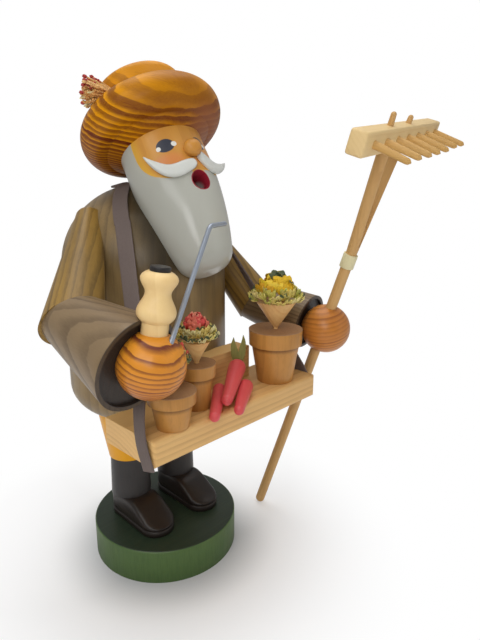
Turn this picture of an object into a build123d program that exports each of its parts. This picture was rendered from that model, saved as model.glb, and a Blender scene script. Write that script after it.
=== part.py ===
from build123d import *
import os
from math import atan2, cos, degrees, radians, sin

os.makedirs("parts", exist_ok=True)

# A turned and glued wooden incense smoker: a bearded gardener with a tray of pots.
# Sizes are in millimetres. The figure faces -Y, its right hand is at -X, and the
# origin is the middle of the base's underside.

# Fits
glue_gap = 0.05  # round a dowel, peg or seat that is glued
lift_gap = 0.3  # round the hip, which the coat lifts off
slide_gap = 0.08  # round the rake's handle in the bored hand
lie_gap = 0.3  # round what only lies against its neighbour, such as the strap and the nose
cut_over = 1.0  # a cut starts this far outside what it cuts

# Base and legs
base_radius = 35.0
base_height = 16.3
base_chamfer = 0.6
figure_y = 9.0  # the figure stands behind the middle of its base
leg_spread = 14.0  # from the middle to each leg
shoe_height = 13.0
shoe_heel_radius = 7.6
shoe_toe_radius = 8.2
shoe_heel_y = 12.4
shoe_toe_y = -10.8
shoe_toe_height = 7.6
toe_tip_height = 4.9
instep_gap = 1.0  # from the boot's leg to the start of the slope
heel_slope = 1.0
sole_height = 3.0
welt_depth = 0.5
welt_height = 0.6
boot_ankle_radius = 9.6
boot_top_radius = 9.1
boot_height = 19.9
hem_radius = 9.7
trouser_radius = 13.8
trouser_height = 23.8
dowel_radius = 2.5
dowel_in_base = 8.0
dowel_in_boot = 9.0
tenon_radius = 5.0
tenon_height = 6.0

# Hip and incense plate
hip_radius = 26.0
hip_height = 11.0
air_hole_radius = 2.0
air_hole_y = 17.0  # from the figure's axis
plate_radius = 12.0
plate_thickness = 0.8
plate_rim = 1.6
plate_sink = 0.5
tack_radius = 0.9
tack_head_radius = 2.2
tack_head_height = 0.8
tack_length = 6.0

# Coat, a bell with a round top, hollow as the smoke chamber
coat_radius = 37.0
coat_side = 66.0  # from its lower edge to the start of the round top
skirt_round = 13.5
chamber_radius = 20.0
chamber_height = 48.0  # above the hip
channel_radius = 4.0
channel_y = -5.0
channel_top_z = 157.6  # inside the beard, where it meets the mouth's bore

# Head, beard and hat, turned about one axis that leans back
head_y = -11.6
head_z = 180.0
head_lean = 31.6
face_turn = -6.4  # the face looks a little to the figure's right
chin_radius = 3.7
chin_end = -46.1  # along the axis from the head's middle
beard_tip_radius = 12.1
beard_tip_at = -39.5
beard_radius = 15.8
beard_at = -24.0
head_radius = 17.5
temple_at = 4.0
hat_seat = 10.6
head_tenon_radius = 11.9
head_tenon_height = 7.5
mouth_radius = 3.9
mouth_at = -13.5
mouth_overrun = 8.0  # the mouth's drill, past each end of its bore
nose_radius = 3.3
nose_at = -0.8
nose_proud = 1.9  # the nose's middle beyond the face
nose_peg_radius = 1.3
nose_peg_length = 8.0
moustache_turn = 21.6  # each half's flat back, from the middle of the face
moustache_thickness = 2.3
moustache_droop = {-1: 0.0, 1: 15.0}  # each half turned down about its middle, right and left
moustache_pivot = -6.0  # along the head's axis
moustache_back = 16.9
moustache_tip = (12.5, -0.4)  # each point: out from the nose, and along the head's axis
moustache_top = (2.5, -5.7)
moustache_root = ((-4.6, -5.0), (-6.3, -7.4), (-5.2, -9.2))
moustache_belly = (4.6, -11.0)
brim_radius = 22.4
brim_roll = 8.1
brim_at = 21.5
crown_radius = 19.5
crown_round = 3.6
crown_top = 41.0
groove_at = 26.0
groove_flare = 0.9
groove_rise = 1.2

# Arms and hands
shoulder = (27.2, 8.5, 161.5)  # the figure's left, mirrored for its right
right_elbow = (-53.9, -21.6, 127.5)
left_elbow = (50.5, -13.5, 118.8)
right_hand_center = (-48.3, -59.4, 119.1)
left_hand_center = (56.4, -54.3, 110.0)
right_cuff = (-50.2, -55.05, 118.4)
left_cuff = (55.1, -45.6, 111.9)
shoulder_radius = 5.8
shoulder_round = 2.6  # of the upper arm's end
right_elbow_radius = 11.0
left_elbow_radius = 10.5
right_cuff_radius = 16.8
left_cuff_radius = 13.2
cuff_wall = 1.6
cuff_recess = 1.5
hand_radius = 11.4
arm_overrun = 16.0  # an arm's blank past the elbow, before the mitre is cut
arm_dowel_radius = 1.6
arm_dowel_half = 6.0
shoulder_dowel_at = 15.0  # down the upper arm
shoulder_dowel_in = 6.5
shoulder_dowel_out = 4.0

# Tray
tray_left = -46.8
tray_right = 46.2
tray_front = -56.5
tray_back = -26.5
tray_top = 89.8
tray_thickness = 10.3
rail_left = -26.0
rail_right = 24.0
rail_front = -35.0
rail_height = 14.7
tray_edge = 1.6
tray_dowel_radius = 2.0
tray_dowel_in = 8.0
tray_dowel_out = 4.0
tray_dowel_z = 96.0

# Strap
strap_width = 6.4
strap_thickness = 1.0
strap_neck_slope = 16.0  # the ring round the neck, from the top of the round shoulders
strap_neck_turn = 90.0  # the ring's end, from the back of the neck
strap_neck_steps = 6
strap_leave_slope = 62.0  # where the strap leaves the shoulder
strap_leave_turn = 131.0
strap_leave_steps = 7
strap_leave_ease = 0.35  # it turns soon and then runs straight down
strap_pass = (-38.4, -37.7, 113.0)  # where the right sleeve pushes it in
strap_bend = 2.0  # it turns down this far above the tray
strap_end_right = -50.0  # where it crosses the tray's upper edge
strap_end_left = -46.0
strap_slant = 4.5  # forward drift down the tray's end
strap_tail = 0.8  # past the tray's lower edge

# Pots and flowers: place, rim radius, height, band, foot radius; layers are a bloom's heights
large_pot = dict(at=(29.5, -46.0), rim=12.0, height=23.8, band=6.9, foot=8.0)
back_pot = dict(at=(-16.0, -44.3), rim=7.5, height=18.5, band=5.2, foot=5.0)
front_pot = dict(at=(-33.6, -50.6), rim=9.0, height=14.1, band=4.6, foot=6.0)
pot_step = 1.3  # the band stands out from the body
pot_flare = 0.2  # the band widens this much to its rim
flower_peg_radius = 1.0
flower_peg_length = 3.0
large_flower = dict(lean=(0, 0), cone=9.0, rise=12.5, frill=13.2, bloom=9.4, layers=(5.6, 4.4), petals=11)
back_flower = dict(lean=(0, 0), cone=5.6, rise=9.0, frill=8.7, bloom=5.4, layers=(5.6, 4.0), petals=9)
front_flower = dict(lean=(0.42, 0.2), cone=3.4, rise=9.5, frill=5.2, bloom=3.6, layers=(4.2, 1.8), petals=7)
cone_waist = 0.56  # the cone's width partway up, as a share of its mouth
cone_waist_at = 0.52  # of its rise
cone_lift = 0.6  # a cone's point above the soil
frill_height = 2.6
button_share = 0.6  # of the bloom's width
petal_size = 0.22  # of a ring's radius

# Radishes: each root from its crown to its tip
left_root = dict(crown=(-0.6, -41.1, 92.75), tip=(-22.4, -60.8, 92.05), radius=2.8, tip_radius=2.1)
right_root = dict(crown=(9.4, -47.2, 93.25), tip=(-12.1, -63.2, 92.05), radius=3.2, tip_radius=2.0)
top_root = dict(crown=(12.4, -39.3, 99.6), tip=(-13.1, -57.6, 94.55), radius=3.8, tip_radius=2.3)
leaf_width = 5.4
leaf_height = 12.6
leaf_thickness = 1.0
leaf_notch = 3.2
leaf_turn = -36.9  # faces the same way as the roots point

# Pipe
pipe_lean = (0.104, -0.078)  # sideways for each millimetre up
pipe_seat = 10.2  # from the hand's middle
pipe_foot_radius = 4.4
pipe_foot_top = 14.2
pipe_belly_radius = 6.1
pipe_belly_at = 18.7
pipe_waist_radius = 4.2
pipe_waist_at = 24.0
pipe_bulge_radius = 5.9
pipe_bulge_at = 27.4
pipe_lip_radius = 3.7
pipe_lip_at = 30.4
pipe_bore_radius = 2.4
pipe_bore_depth = 7.0
pipe_lid_radius = 3.3
pipe_lid_height = 1.6
stem_radius = 0.85
stem_foot = (-45.0, -66.0, 127.8)
stem_bend = (-20.0, -57.2, 161.5)
stem_tip = (-11.0, -55.3, 161.8)
stem_bend_radius = 3.0
stem_in_hand = 4.0

# Rake
rake_foot = (55.2, -14.8, 0.0)  # where the handle's axis meets the ground
rake_grip = (55.7, -53.5, 110.0)  # where it passes the hand
rake_turn = -10.8  # of the head about the handle, degrees
rake_tilt = 4.9  # of the head, which isn't quite square to the handle
handle_radius = 2.45
ferrule_at = 148.5  # along the handle from the ground
ferrule_length = 6.5
ferrule_wall = 0.7
split_above = 1.0  # the split starts this far above the ferrule
prong_top = 215.5
prong_clear = 0.6  # from each prong to the tine beside it
prong_peg_radius = 1.5  # each prong is whittled to a peg, which passes through the head
prong_tip_radius = 1.1
prong_seat = 1.2  # its shoulder goes this far into the head
rake_head_at = 205.8
rake_head_length = 86.0
rake_head_height = 9.0
rake_head_depth = 6.9
rake_head_shift = 4.4
tine_count = 7
tine_margin = 7.0  # from the head's ends to the outer tines, if they stood in its middle
tine_offset = -0.3  # of the two inner tines from the middle between the prongs
tine_length = 14.6
tine_in_head = 2.4
tine_radius = 1.55
tine_tip_radius = 1.05
tine_droop = 6.0

# Posy in the hat's groove
posy_turn = 190.0
posy_lean = 0.6  # outward for each millimetre up
posy_stem_radius = 1.2
posy_stem_in = 2.5
posy_floret_radius = 2.4
posy_florets = 5
posy_ring = 3.3
posy_rise = 7.0
posy_leaf_rise = 1.6  # up the stem
posy_leaf_droop = 0.1
posy_leaf_length = 9.0
posy_leaf_width = 4.4
posy_leaf_thickness = 0.9

# Heights that follow from the sizes above
shoe_top = base_height + shoe_height
hem_z = shoe_top + boot_height
hip_z = hem_z + trouser_height
hip_top = hip_z + hip_height
coat_bottom = hip_z
dome_z = coat_bottom + coat_side
coat_seat_radius = hip_radius + lift_gap
chamber_top = hip_top + chamber_height
tray_bottom = tray_top - tray_thickness
split_at = ferrule_at + ferrule_length + split_above
tine_pitch = (rake_head_length - 2 * tine_margin) / (tine_count - 1)
tine_shift = tine_pitch / 2 + tine_offset
prong_out = tine_pitch / 2 + tine_radius + prong_clear  # where a prong meets the head
prong_spread = degrees(atan2(prong_out, rake_head_at - split_at))  # each prong's lean outward

sides = {"right": -1, "left": 1}
stand_up = (Align.CENTER, Align.CENTER, Align.MIN)
hang_down = (Align.CENTER, Align.CENTER, Align.MAX)


# Helpers
def along(start, end):
    return (Vector(end) - Vector(start)).normalized()


def section(origin, axis):
    """The plane through an axis in which a turned outline is drawn: X is radius, Y runs along it."""
    axis = Vector(axis).normalized()
    across = Vector(1, 0, 0) - axis * axis.X
    across = across.normalized()
    return Plane(origin=origin, x_dir=across, z_dir=across.cross(axis))


def write(piece, name):
    piece.part.label = name
    export_step(piece.part, f"parts/{name}.step")


def rod(start, end, radius):
    with BuildPart() as stick:
        with BuildSketch(Plane(origin=start, z_dir=along(start, end))):
            Circle(radius)
        extrude(amount=(Vector(end) - Vector(start)).length)
    return stick


# Base
leg_spots = [(side * leg_spread, figure_y) for side in sides.values()]
with BuildPart() as base:
    Cylinder(base_radius, base_height, align=stand_up)
    chamfer(base.faces().sort_by(Axis.Z)[-1].edges(), base_chamfer)
    with Locations(*[(x, y, base_height) for x, y in leg_spots]):
        Hole(dowel_radius + glue_gap, dowel_in_base)
write(base, "base")

with BuildPart() as leg_dowels:
    with Locations(*[(x, y, base_height - dowel_in_base) for x, y in leg_spots]):
        Cylinder(dowel_radius, dowel_in_base + shoe_height + dowel_in_boot, align=stand_up)
write(leg_dowels, "leg_dowels")


# Shoes: a plan outline cut to a side outline
def make_shoe(side):
    x = side * leg_spread
    heel_back = shoe_heel_y + shoe_heel_radius
    toe_front = shoe_toe_y - shoe_toe_radius
    instep_y = figure_y - boot_ankle_radius - instep_gap
    toe_tip = (toe_front, base_height + toe_tip_height)
    with BuildPart() as shoe:
        with BuildSketch(Plane.XY.offset(base_height)):
            with Locations((x, shoe_heel_y)):
                Circle(shoe_heel_radius)
            with Locations((x, shoe_toe_y)):
                Circle(shoe_toe_radius)
            make_hull()
        extrude(amount=shoe_height)
        with BuildSketch(Plane.YZ.offset(x)):
            with BuildLine():
                Polyline(
                    toe_tip,
                    (toe_front, base_height),
                    (heel_back, base_height),
                    (heel_back - heel_slope, shoe_top),
                    (instep_y, shoe_top),
                )
                Spline(
                    (instep_y, shoe_top),
                    (shoe_toe_y, base_height + shoe_toe_height),
                    toe_tip,
                    tangents=((-0.6, -1), (-0.2, -1)),
                )
            make_face()
        extrude(amount=shoe_toe_radius + cut_over, both=True, mode=Mode.INTERSECT)
        with BuildSketch(Plane.XY.offset(base_height + sole_height)):
            with Locations((x, shoe_heel_y)):
                Circle(shoe_heel_radius)
            with Locations((x, shoe_toe_y)):
                Circle(shoe_toe_radius)
            make_hull()
            offset(amount=-welt_depth, mode=Mode.SUBTRACT)
        extrude(amount=welt_height, mode=Mode.SUBTRACT)
        with Locations((x, figure_y, shoe_top)):
            Hole(dowel_radius + glue_gap)
    return shoe


# Legs: a boot leg tenoned into a trouser leg, which is tenoned into the hip
def make_boot(side):
    at = (side * leg_spread, figure_y)
    with BuildPart() as boot:
        with Locations((*at, shoe_top)):
            Cone(boot_ankle_radius, boot_top_radius, boot_height, align=stand_up)
            Cylinder(dowel_radius + glue_gap, dowel_in_boot, align=stand_up, mode=Mode.SUBTRACT)
        with Locations((*at, hem_z)):
            Cylinder(tenon_radius, tenon_height, align=stand_up)
    return boot


def make_trouser(side):
    at = (side * leg_spread, figure_y)
    with BuildPart() as trouser:
        with Locations((*at, hem_z)):
            Cone(hem_radius, trouser_radius, trouser_height, align=stand_up)
            Cylinder(tenon_radius + glue_gap, tenon_height, align=stand_up, mode=Mode.SUBTRACT)
        with Locations((*at, hip_z)):
            Cylinder(tenon_radius, tenon_height, align=stand_up)
    return trouser


for name, side in sides.items():
    write(make_shoe(side), f"{name}_shoe")
    write(make_boot(side), f"{name}_boot_leg")
    write(make_trouser(side), f"{name}_trouser_leg")

# Hip: the plug that the coat lifts off, with the incense plate on top
with BuildPart() as hip:
    with Locations((0, figure_y, hip_z)):
        Cylinder(hip_radius, hip_height, align=stand_up)
    with Locations(*[(x, y, hip_z) for x, y in leg_spots]):
        Cylinder(tenon_radius + glue_gap, tenon_height, align=stand_up, mode=Mode.SUBTRACT)
    with Locations((0, figure_y, hip_top)):
        Hole(plate_radius + glue_gap, plate_sink)
        Hole(tack_radius + glue_gap, plate_sink + tack_length)
    with Locations((0, figure_y - air_hole_y, hip_top), (0, figure_y + air_hole_y, hip_top)):
        Hole(air_hole_radius)
write(hip, "hip")

plate_z = hip_top - plate_sink
with BuildPart() as incense_plate:
    with Locations((0, figure_y, plate_z)):
        Cylinder(plate_radius, plate_thickness + plate_rim, align=stand_up)
    with Locations((0, figure_y, plate_z + plate_thickness + plate_rim)):
        Hole(plate_radius - plate_thickness, plate_rim)
        Hole(tack_radius + glue_gap)
write(incense_plate, "incense_plate")

with BuildPart() as plate_tack:
    with Locations((0, figure_y, plate_z + plate_thickness)):
        Cylinder(tack_head_radius, tack_head_height, align=stand_up)
        Cylinder(tack_radius, plate_thickness + tack_length, align=hang_down)
write(plate_tack, "plate_tack")

# Head axis and the directions on the face
head_origin = Vector(0, head_y, head_z)
head_up = Vector(0, sin(radians(head_lean)), cos(radians(head_lean)))
head_front = Vector(0, -cos(radians(head_lean)), sin(radians(head_lean)))
head_axis = Axis(head_origin, head_up)
head_section = section(head_origin, head_up)


def face_way(turn):
    turn = radians(face_turn + turn)
    return head_front * cos(turn) + Vector(1, 0, 0) * sin(turn)


def face_point(turn, at, out):
    return head_origin + head_up * at + face_way(turn) * out


# Head and beard: one spindle, also used with a gap to cut its seat in the coat
def make_spindle(gap):
    with BuildPart() as spindle:
        with BuildSketch(head_section):
            with BuildLine():
                Line((0, chin_end - gap), (chin_radius, chin_end - gap))
                TangentArc(
                    (chin_radius, chin_end - gap), (beard_tip_radius + gap, beard_tip_at), tangent=(1, 0)
                )
                ThreePointArc(
                    (beard_tip_radius + gap, beard_tip_at),
                    (beard_radius + gap, beard_at),
                    (head_radius + gap, temple_at),
                )
                Polyline(
                    (head_radius + gap, temple_at),
                    (head_radius + gap, hat_seat),
                    (head_tenon_radius, hat_seat),
                    (head_tenon_radius, hat_seat + head_tenon_height),
                    (0, hat_seat + head_tenon_height),
                    (0, chin_end - gap),
                )
            make_face()
        revolve(axis=head_axis)
    return spindle


nose_center = face_point(0, nose_at, head_radius + nose_proud)
nose_root = face_point(0, nose_at, head_radius + nose_proud - nose_peg_length)
mouth_center = face_point(0, mouth_at, head_radius)
channel_top = Vector(0, channel_y, channel_top_z)
mouth_way = along(channel_top, mouth_center)
mouth_drill = rod(
    mouth_center + mouth_way * mouth_overrun, channel_top - mouth_way * mouth_overrun, mouth_radius
)

with BuildPart() as head:
    add(make_spindle(0).part)
    add(mouth_drill.part, mode=Mode.SUBTRACT)
    add(rod(nose_root, nose_center, nose_peg_radius + glue_gap).part, mode=Mode.SUBTRACT)
    with Locations(nose_center):
        Sphere(nose_radius + lie_gap, mode=Mode.SUBTRACT)
write(head, "head")

with BuildPart() as nose:
    with Locations(nose_center):
        Sphere(nose_radius)
    add(rod(nose_root, nose_center, nose_peg_radius).part)
write(nose, "nose")


# Moustache halves: flat crescents that touch the face only at their middle
def make_moustache(side):
    way = face_way(side * moustache_turn)
    level = head_up.cross(way) * side
    droop = radians(moustache_droop[side])
    outward = level * cos(droop) - head_up * sin(droop)
    rise = head_up * cos(droop) + level * sin(droop)
    pivot = head_origin + way * moustache_back + head_up * moustache_pivot
    plane = Plane(origin=pivot - rise * moustache_pivot, x_dir=outward, z_dir=outward.cross(rise))
    with BuildPart() as half:
        with BuildSketch(plane):
            with BuildLine():
                ThreePointArc(moustache_tip, moustache_top, moustache_root[0])
                ThreePointArc(*moustache_root)
                ThreePointArc(moustache_root[-1], moustache_belly, moustache_tip)
            make_face()
        extrude(amount=moustache_thickness * (1 if plane.z_dir.dot(way) > 0 else -1))
        add(make_spindle(glue_gap).part, mode=Mode.SUBTRACT)
    return half


for name, side in sides.items():
    write(make_moustache(side), f"{name}_moustache")

# Hat: a thick rolled brim, a groove and the crown, with a posy whose stem is glued into the brim
posy_out = Vector(1, 0, 0) * cos(radians(posy_turn)) - head_front * sin(radians(posy_turn))
posy_foot = head_origin + head_up * (brim_at + brim_roll) + posy_out * brim_radius
posy_way = (head_up + posy_out * posy_lean).normalized()
posy_root = posy_foot - posy_way * posy_stem_in
posy_top = posy_foot + posy_way * posy_rise
with BuildPart() as hat:
    with BuildSketch(head_section):
        with BuildLine():
            Polyline(
                (head_tenon_radius + glue_gap, hat_seat),
                (head_radius, hat_seat),
                (brim_radius, brim_at - brim_roll),
            )
            ThreePointArc(
                (brim_radius, brim_at - brim_roll),
                (brim_radius + brim_roll, brim_at),
                (brim_radius, brim_at + brim_roll),
            )
            ThreePointArc(
                (brim_radius, brim_at + brim_roll),
                (crown_radius + groove_flare, groove_at + groove_rise),
                (crown_radius, groove_at),
            )
            Line((crown_radius, groove_at), (crown_radius, crown_top - crown_round))
            TangentArc(
                (crown_radius, crown_top - crown_round),
                (crown_radius - crown_round, crown_top),
                tangent=(0, 1),
            )
            Polyline(
                (crown_radius - crown_round, crown_top),
                (0, crown_top),
                (0, hat_seat + head_tenon_height + glue_gap),
                (head_tenon_radius + glue_gap, hat_seat + head_tenon_height + glue_gap),
                (head_tenon_radius + glue_gap, hat_seat),
            )
        make_face()
    revolve(axis=head_axis)
    add(rod(posy_root, posy_top, posy_stem_radius + glue_gap).part, mode=Mode.SUBTRACT)
write(hat, "hat")

with BuildPart() as posy:
    add(rod(posy_root, posy_top, posy_stem_radius).part)
    with Locations(posy_top):
        Sphere(posy_ring)
    with Locations(Plane(origin=posy_top, z_dir=posy_way)):
        with PolarLocations(posy_ring, posy_florets):
            Sphere(posy_floret_radius)
write(posy, "hat_posy")

posy_leaf_way = (posy_out - head_up * posy_leaf_droop).normalized()
posy_leaf_side = posy_out.cross(head_up)
posy_leaf_root = posy_foot + posy_way * posy_leaf_rise + posy_out * posy_stem_radius
posy_leaf_plane = Plane(origin=posy_leaf_root, x_dir=posy_leaf_way, z_dir=posy_leaf_way.cross(posy_leaf_side))
with BuildPart() as posy_leaf:
    with BuildSketch(posy_leaf_plane):
        with BuildLine():
            ThreePointArc((0, 0), (posy_leaf_length / 2, posy_leaf_width / 2), (posy_leaf_length, 0))
            ThreePointArc((posy_leaf_length, 0), (posy_leaf_length / 2, -posy_leaf_width / 2), (0, 0))
        make_face()
    extrude(amount=posy_leaf_thickness)
    add(rod(posy_root, posy_top, posy_stem_radius + glue_gap).part, mode=Mode.SUBTRACT)
write(posy_leaf, "hat_posy_leaf")

# Coat axis and its plain outer form, which the arms and the tray are cut to
coat_axis = Axis((0, figure_y, 0), (0, 0, 1))
coat_section = section((0, figure_y, 0), (0, 0, 1))
dome_center = Vector(0, figure_y, dome_z)


def make_coat_form(gap):
    with BuildPart() as form:
        with Locations((0, figure_y, coat_bottom)):
            Cylinder(coat_radius + gap, coat_side, align=stand_up)
        with Locations(dome_center):
            Sphere(coat_radius + gap)
    return form


# Pipe: a turned bowl that stands in the right hand, close before the cuff
pipe_way = Vector(*pipe_lean, 1).normalized()
pipe_origin = Vector(right_hand_center)
pipe_axis = Axis(pipe_origin, pipe_way)
pipe_section = section(pipe_origin, pipe_way)


def make_pipe_form(gap):
    with BuildPart() as form:
        with BuildSketch(pipe_section):
            with BuildLine():
                Polyline(
                    (0, pipe_lip_at),
                    (0, pipe_seat),
                    (pipe_foot_radius + gap, pipe_seat),
                    (pipe_foot_radius + gap, pipe_foot_top),
                )
                Spline(
                    (pipe_foot_radius + gap, pipe_foot_top),
                    (pipe_belly_radius + gap, pipe_belly_at),
                    (pipe_waist_radius + gap, pipe_waist_at),
                    (pipe_bulge_radius + gap, pipe_bulge_at),
                    (pipe_lip_radius + gap, pipe_lip_at),
                )
                Line((pipe_lip_radius + gap, pipe_lip_at), (0, pipe_lip_at))
            make_face()
        revolve(axis=pipe_axis)
    return form


# Arms: shoulder, elbow and cuff points of each side
class Arm:
    def __init__(self, side, elbow, cuff, hand, elbow_radius, cuff_radius):
        self.hand = Vector(hand)
        self.shoulder = Vector(side * shoulder[0], shoulder[1], shoulder[2])
        self.elbow = Vector(elbow)
        self.cuff = Vector(cuff)
        self.elbow_radius = elbow_radius
        self.cuff_radius = cuff_radius
        self.upper_way = along(self.shoulder, self.elbow)
        self.fore_way = along(self.elbow, self.cuff)
        self.upper_length = (self.elbow - self.shoulder).length
        self.fore_length = (self.cuff - self.elbow).length
        self.mitre = Plane(origin=self.elbow, z_dir=self.upper_way + self.fore_way)
        spot = self.shoulder + self.upper_way * shoulder_dowel_at
        out = along(dome_center, spot)
        self.dowel_ends = (
            dome_center + out * (coat_radius - shoulder_dowel_in),
            dome_center + out * (coat_radius + shoulder_dowel_out),
        )
        self.elbow_ends = (
            self.elbow - self.mitre.z_dir * arm_dowel_half,
            self.elbow + self.mitre.z_dir * arm_dowel_half,
        )


arms = {
    "right": Arm(-1, right_elbow, right_cuff, right_hand_center, right_elbow_radius, right_cuff_radius),
    "left": Arm(1, left_elbow, left_cuff, left_hand_center, left_elbow_radius, left_cuff_radius),
}


def make_upper_arm(arm):
    flare = (arm.elbow_radius - shoulder_radius) / arm.upper_length
    end = arm.upper_length + arm_overrun
    with BuildPart() as upper:
        with BuildSketch(section(arm.shoulder, arm.upper_way)):
            with BuildLine():
                Polyline((0, end), (0, -shoulder_round), (shoulder_radius - shoulder_round, -shoulder_round))
                TangentArc(
                    (shoulder_radius - shoulder_round, -shoulder_round), (shoulder_radius, 0), tangent=(1, 0)
                )
                Polyline((shoulder_radius, 0), (shoulder_radius + flare * end, end), (0, end))
            make_face()
        revolve(axis=Axis(arm.shoulder, arm.upper_way))
        split(bisect_by=arm.mitre, keep=Keep.BOTTOM)
        add(make_coat_form(glue_gap).part, mode=Mode.SUBTRACT)
        add(rod(*arm.dowel_ends, arm_dowel_radius + glue_gap).part, mode=Mode.SUBTRACT)
        add(rod(*arm.elbow_ends, arm_dowel_radius + glue_gap).part, mode=Mode.SUBTRACT)
    return upper


def make_forearm(arm):
    flare = (arm.cuff_radius - arm.elbow_radius) / arm.fore_length
    start = -arm_overrun
    with BuildPart() as sleeve:
        with BuildSketch(section(arm.elbow, arm.fore_way)):
            with BuildLine():
                Polyline(
                    (0, start),
                    (arm.elbow_radius + flare * start, start),
                    (arm.cuff_radius, arm.fore_length),
                    (arm.cuff_radius - cuff_wall, arm.fore_length),
                    (arm.cuff_radius - cuff_wall, arm.fore_length - cuff_recess),
                    (0, arm.fore_length - cuff_recess),
                    close=True,
                )
            make_face()
        revolve(axis=Axis(arm.elbow, arm.fore_way))
        split(bisect_by=arm.mitre, keep=Keep.TOP)
        with Locations(arm.hand):
            Sphere(hand_radius + glue_gap, mode=Mode.SUBTRACT)
        add(rod(*arm.elbow_ends, arm_dowel_radius + glue_gap).part, mode=Mode.SUBTRACT)
        add(make_pipe_form(lie_gap).part, mode=Mode.SUBTRACT)  # hollow in the right cuff's rim
    return sleeve


for name, arm in arms.items():
    write(make_upper_arm(arm), f"{name}_upper_arm")
    write(make_forearm(arm), f"{name}_sleeve")

with BuildPart() as arm_dowels:
    for arm in arms.values():
        add(rod(*arm.dowel_ends, arm_dowel_radius).part)
        add(rod(*arm.elbow_ends, arm_dowel_radius).part)
write(arm_dowels, "arm_dowels")

# Coat: turned outside, bored inside, with seats for the head, the arms and the tray
tray_dowel_ends = (
    (0, figure_y - coat_radius + tray_dowel_in, tray_dowel_z),
    (0, figure_y - coat_radius - tray_dowel_out, tray_dowel_z),
)
with BuildPart() as coat:
    with BuildSketch(coat_section):
        with BuildLine():
            RadiusArc(
                (coat_seat_radius, coat_bottom), (coat_radius, coat_bottom + skirt_round), -skirt_round
            )
            Line((coat_radius, coat_bottom + skirt_round), (coat_radius, dome_z))
            CenterArc((0, dome_z), coat_radius, 0, 90)
            Polyline(
                (0, dome_z + coat_radius),
                (0, chamber_top),
                (chamber_radius, chamber_top),
                (chamber_radius, hip_top),
                (coat_seat_radius, hip_top),
                (coat_seat_radius, coat_bottom),
            )
        make_face()
    revolve(axis=coat_axis)
    add(make_spindle(glue_gap).part, mode=Mode.SUBTRACT)
    channel_start = (0, channel_y, chamber_top - cut_over)
    add(rod(channel_start, channel_top, channel_radius).part, mode=Mode.SUBTRACT)
    for arm in arms.values():
        add(rod(*arm.dowel_ends, arm_dowel_radius + glue_gap).part, mode=Mode.SUBTRACT)
    add(rod(*tray_dowel_ends, tray_dowel_radius + glue_gap).part, mode=Mode.SUBTRACT)
write(coat, "coat")

# Tray: a thick board with a rail at the back, both hollowed to the coat
with BuildPart() as tray:
    with BuildSketch(Plane.XY.offset(tray_bottom)):
        with Locations(((tray_left + tray_right) / 2, (tray_front + tray_back) / 2)):
            Rectangle(tray_right - tray_left, tray_back - tray_front)
    extrude(amount=tray_thickness)
    fillet(tray.faces().sort_by(Axis.Y)[0].edges(), tray_edge)
    with BuildSketch(Plane.XY.offset(tray_top)):
        with Locations(((rail_left + rail_right) / 2, (rail_front + tray_back) / 2)):
            Rectangle(rail_right - rail_left, tray_back - rail_front)
    extrude(amount=rail_height)
    add(make_coat_form(glue_gap).part, mode=Mode.SUBTRACT)
    add(rod(*tray_dowel_ends, tray_dowel_radius + glue_gap).part, mode=Mode.SUBTRACT)
write(tray, "tray")

tray_dowel = rod(*tray_dowel_ends, tray_dowel_radius)
write(tray_dowel, "tray_dowel")


# Strap: from one end of the tray, up over the shoulders, behind the neck and down again
def shoulder_spot(turn, slope):
    """A point of the strap on the round shoulders, with the way its face looks there."""
    level = sin(radians(slope))
    out = Vector(sin(radians(turn)) * level, cos(radians(turn)) * level, cos(radians(slope)))
    return dome_center + out * (coat_radius + lie_gap + strap_thickness / 2), out


def strap_sections(side, end_y):
    """Points from the neck to the tail, each with the way the strap's face looks there."""
    turns = []
    for step in range(1, strap_neck_steps + 1):
        turns.append((strap_neck_turn * step / strap_neck_steps, strap_neck_slope))
    for step in range(1, strap_leave_steps + 1):
        share = step / strap_leave_steps
        turn = strap_neck_turn + (strap_leave_turn - strap_neck_turn) * share**strap_leave_ease
        turns.append((turn, strap_neck_slope + (strap_leave_slope - strap_neck_slope) * share))
    spots = [shoulder_spot(side * turn, slope) for turn, slope in turns]
    away = Vector(side, 0, 0)
    if side < 0:
        spots.append((Vector(strap_pass), (spots[-1][1] + away).normalized()))
    end_x = tray_left if side < 0 else tray_right
    end_x += side * (lie_gap + strap_thickness / 2)
    for y, z in ((end_y, tray_top + strap_bend), (end_y - strap_slant, tray_bottom - strap_tail)):
        spots.append((Vector(end_x, y, z), away))
    return spots


strap_route = strap_sections(-1, strap_end_right)[::-1]
strap_route += [shoulder_spot(0, strap_neck_slope)] + strap_sections(1, strap_end_left)
with BuildPart() as strap:
    for index, (spot, out) in enumerate(strap_route):
        before = strap_route[max(index - 1, 0)][0]
        after = strap_route[min(index + 1, len(strap_route) - 1)][0]
        run = along(before, after)
        run = (run - out * out.dot(run)).normalized()
        with BuildSketch(Plane(origin=spot, x_dir=out.cross(run), z_dir=run)):
            Rectangle(strap_width, strap_thickness)
    loft(ruled=True)
write(strap, "strap")


# Pots: a tapered body with a wider band, and a hole for the flower
def make_pot(at, rim, height, band, foot):
    body = rim - pot_step
    with BuildPart() as pot:
        with BuildSketch(section((*at, tray_top), (0, 0, 1))):
            with BuildLine():
                Polyline(
                    (0, 0),
                    (foot, 0),
                    (body, height - band),
                    (rim - pot_flare, height - band),
                    (rim, height),
                    (0, height),
                    close=True,
                )
            make_face()
        revolve(axis=Axis((*at, tray_top), (0, 0, 1)))
        with Locations((*at, tray_top + height)):
            Hole(flower_peg_radius + glue_gap, flower_peg_length)
    return pot


# Flowers: a turned cone with a frill and layered petals of wood shavings
def flower_axis(pot, flower):
    origin = Vector(*pot["at"], tray_top + pot["height"])
    return origin, Vector(*flower["lean"], 1).normalized()


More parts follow.
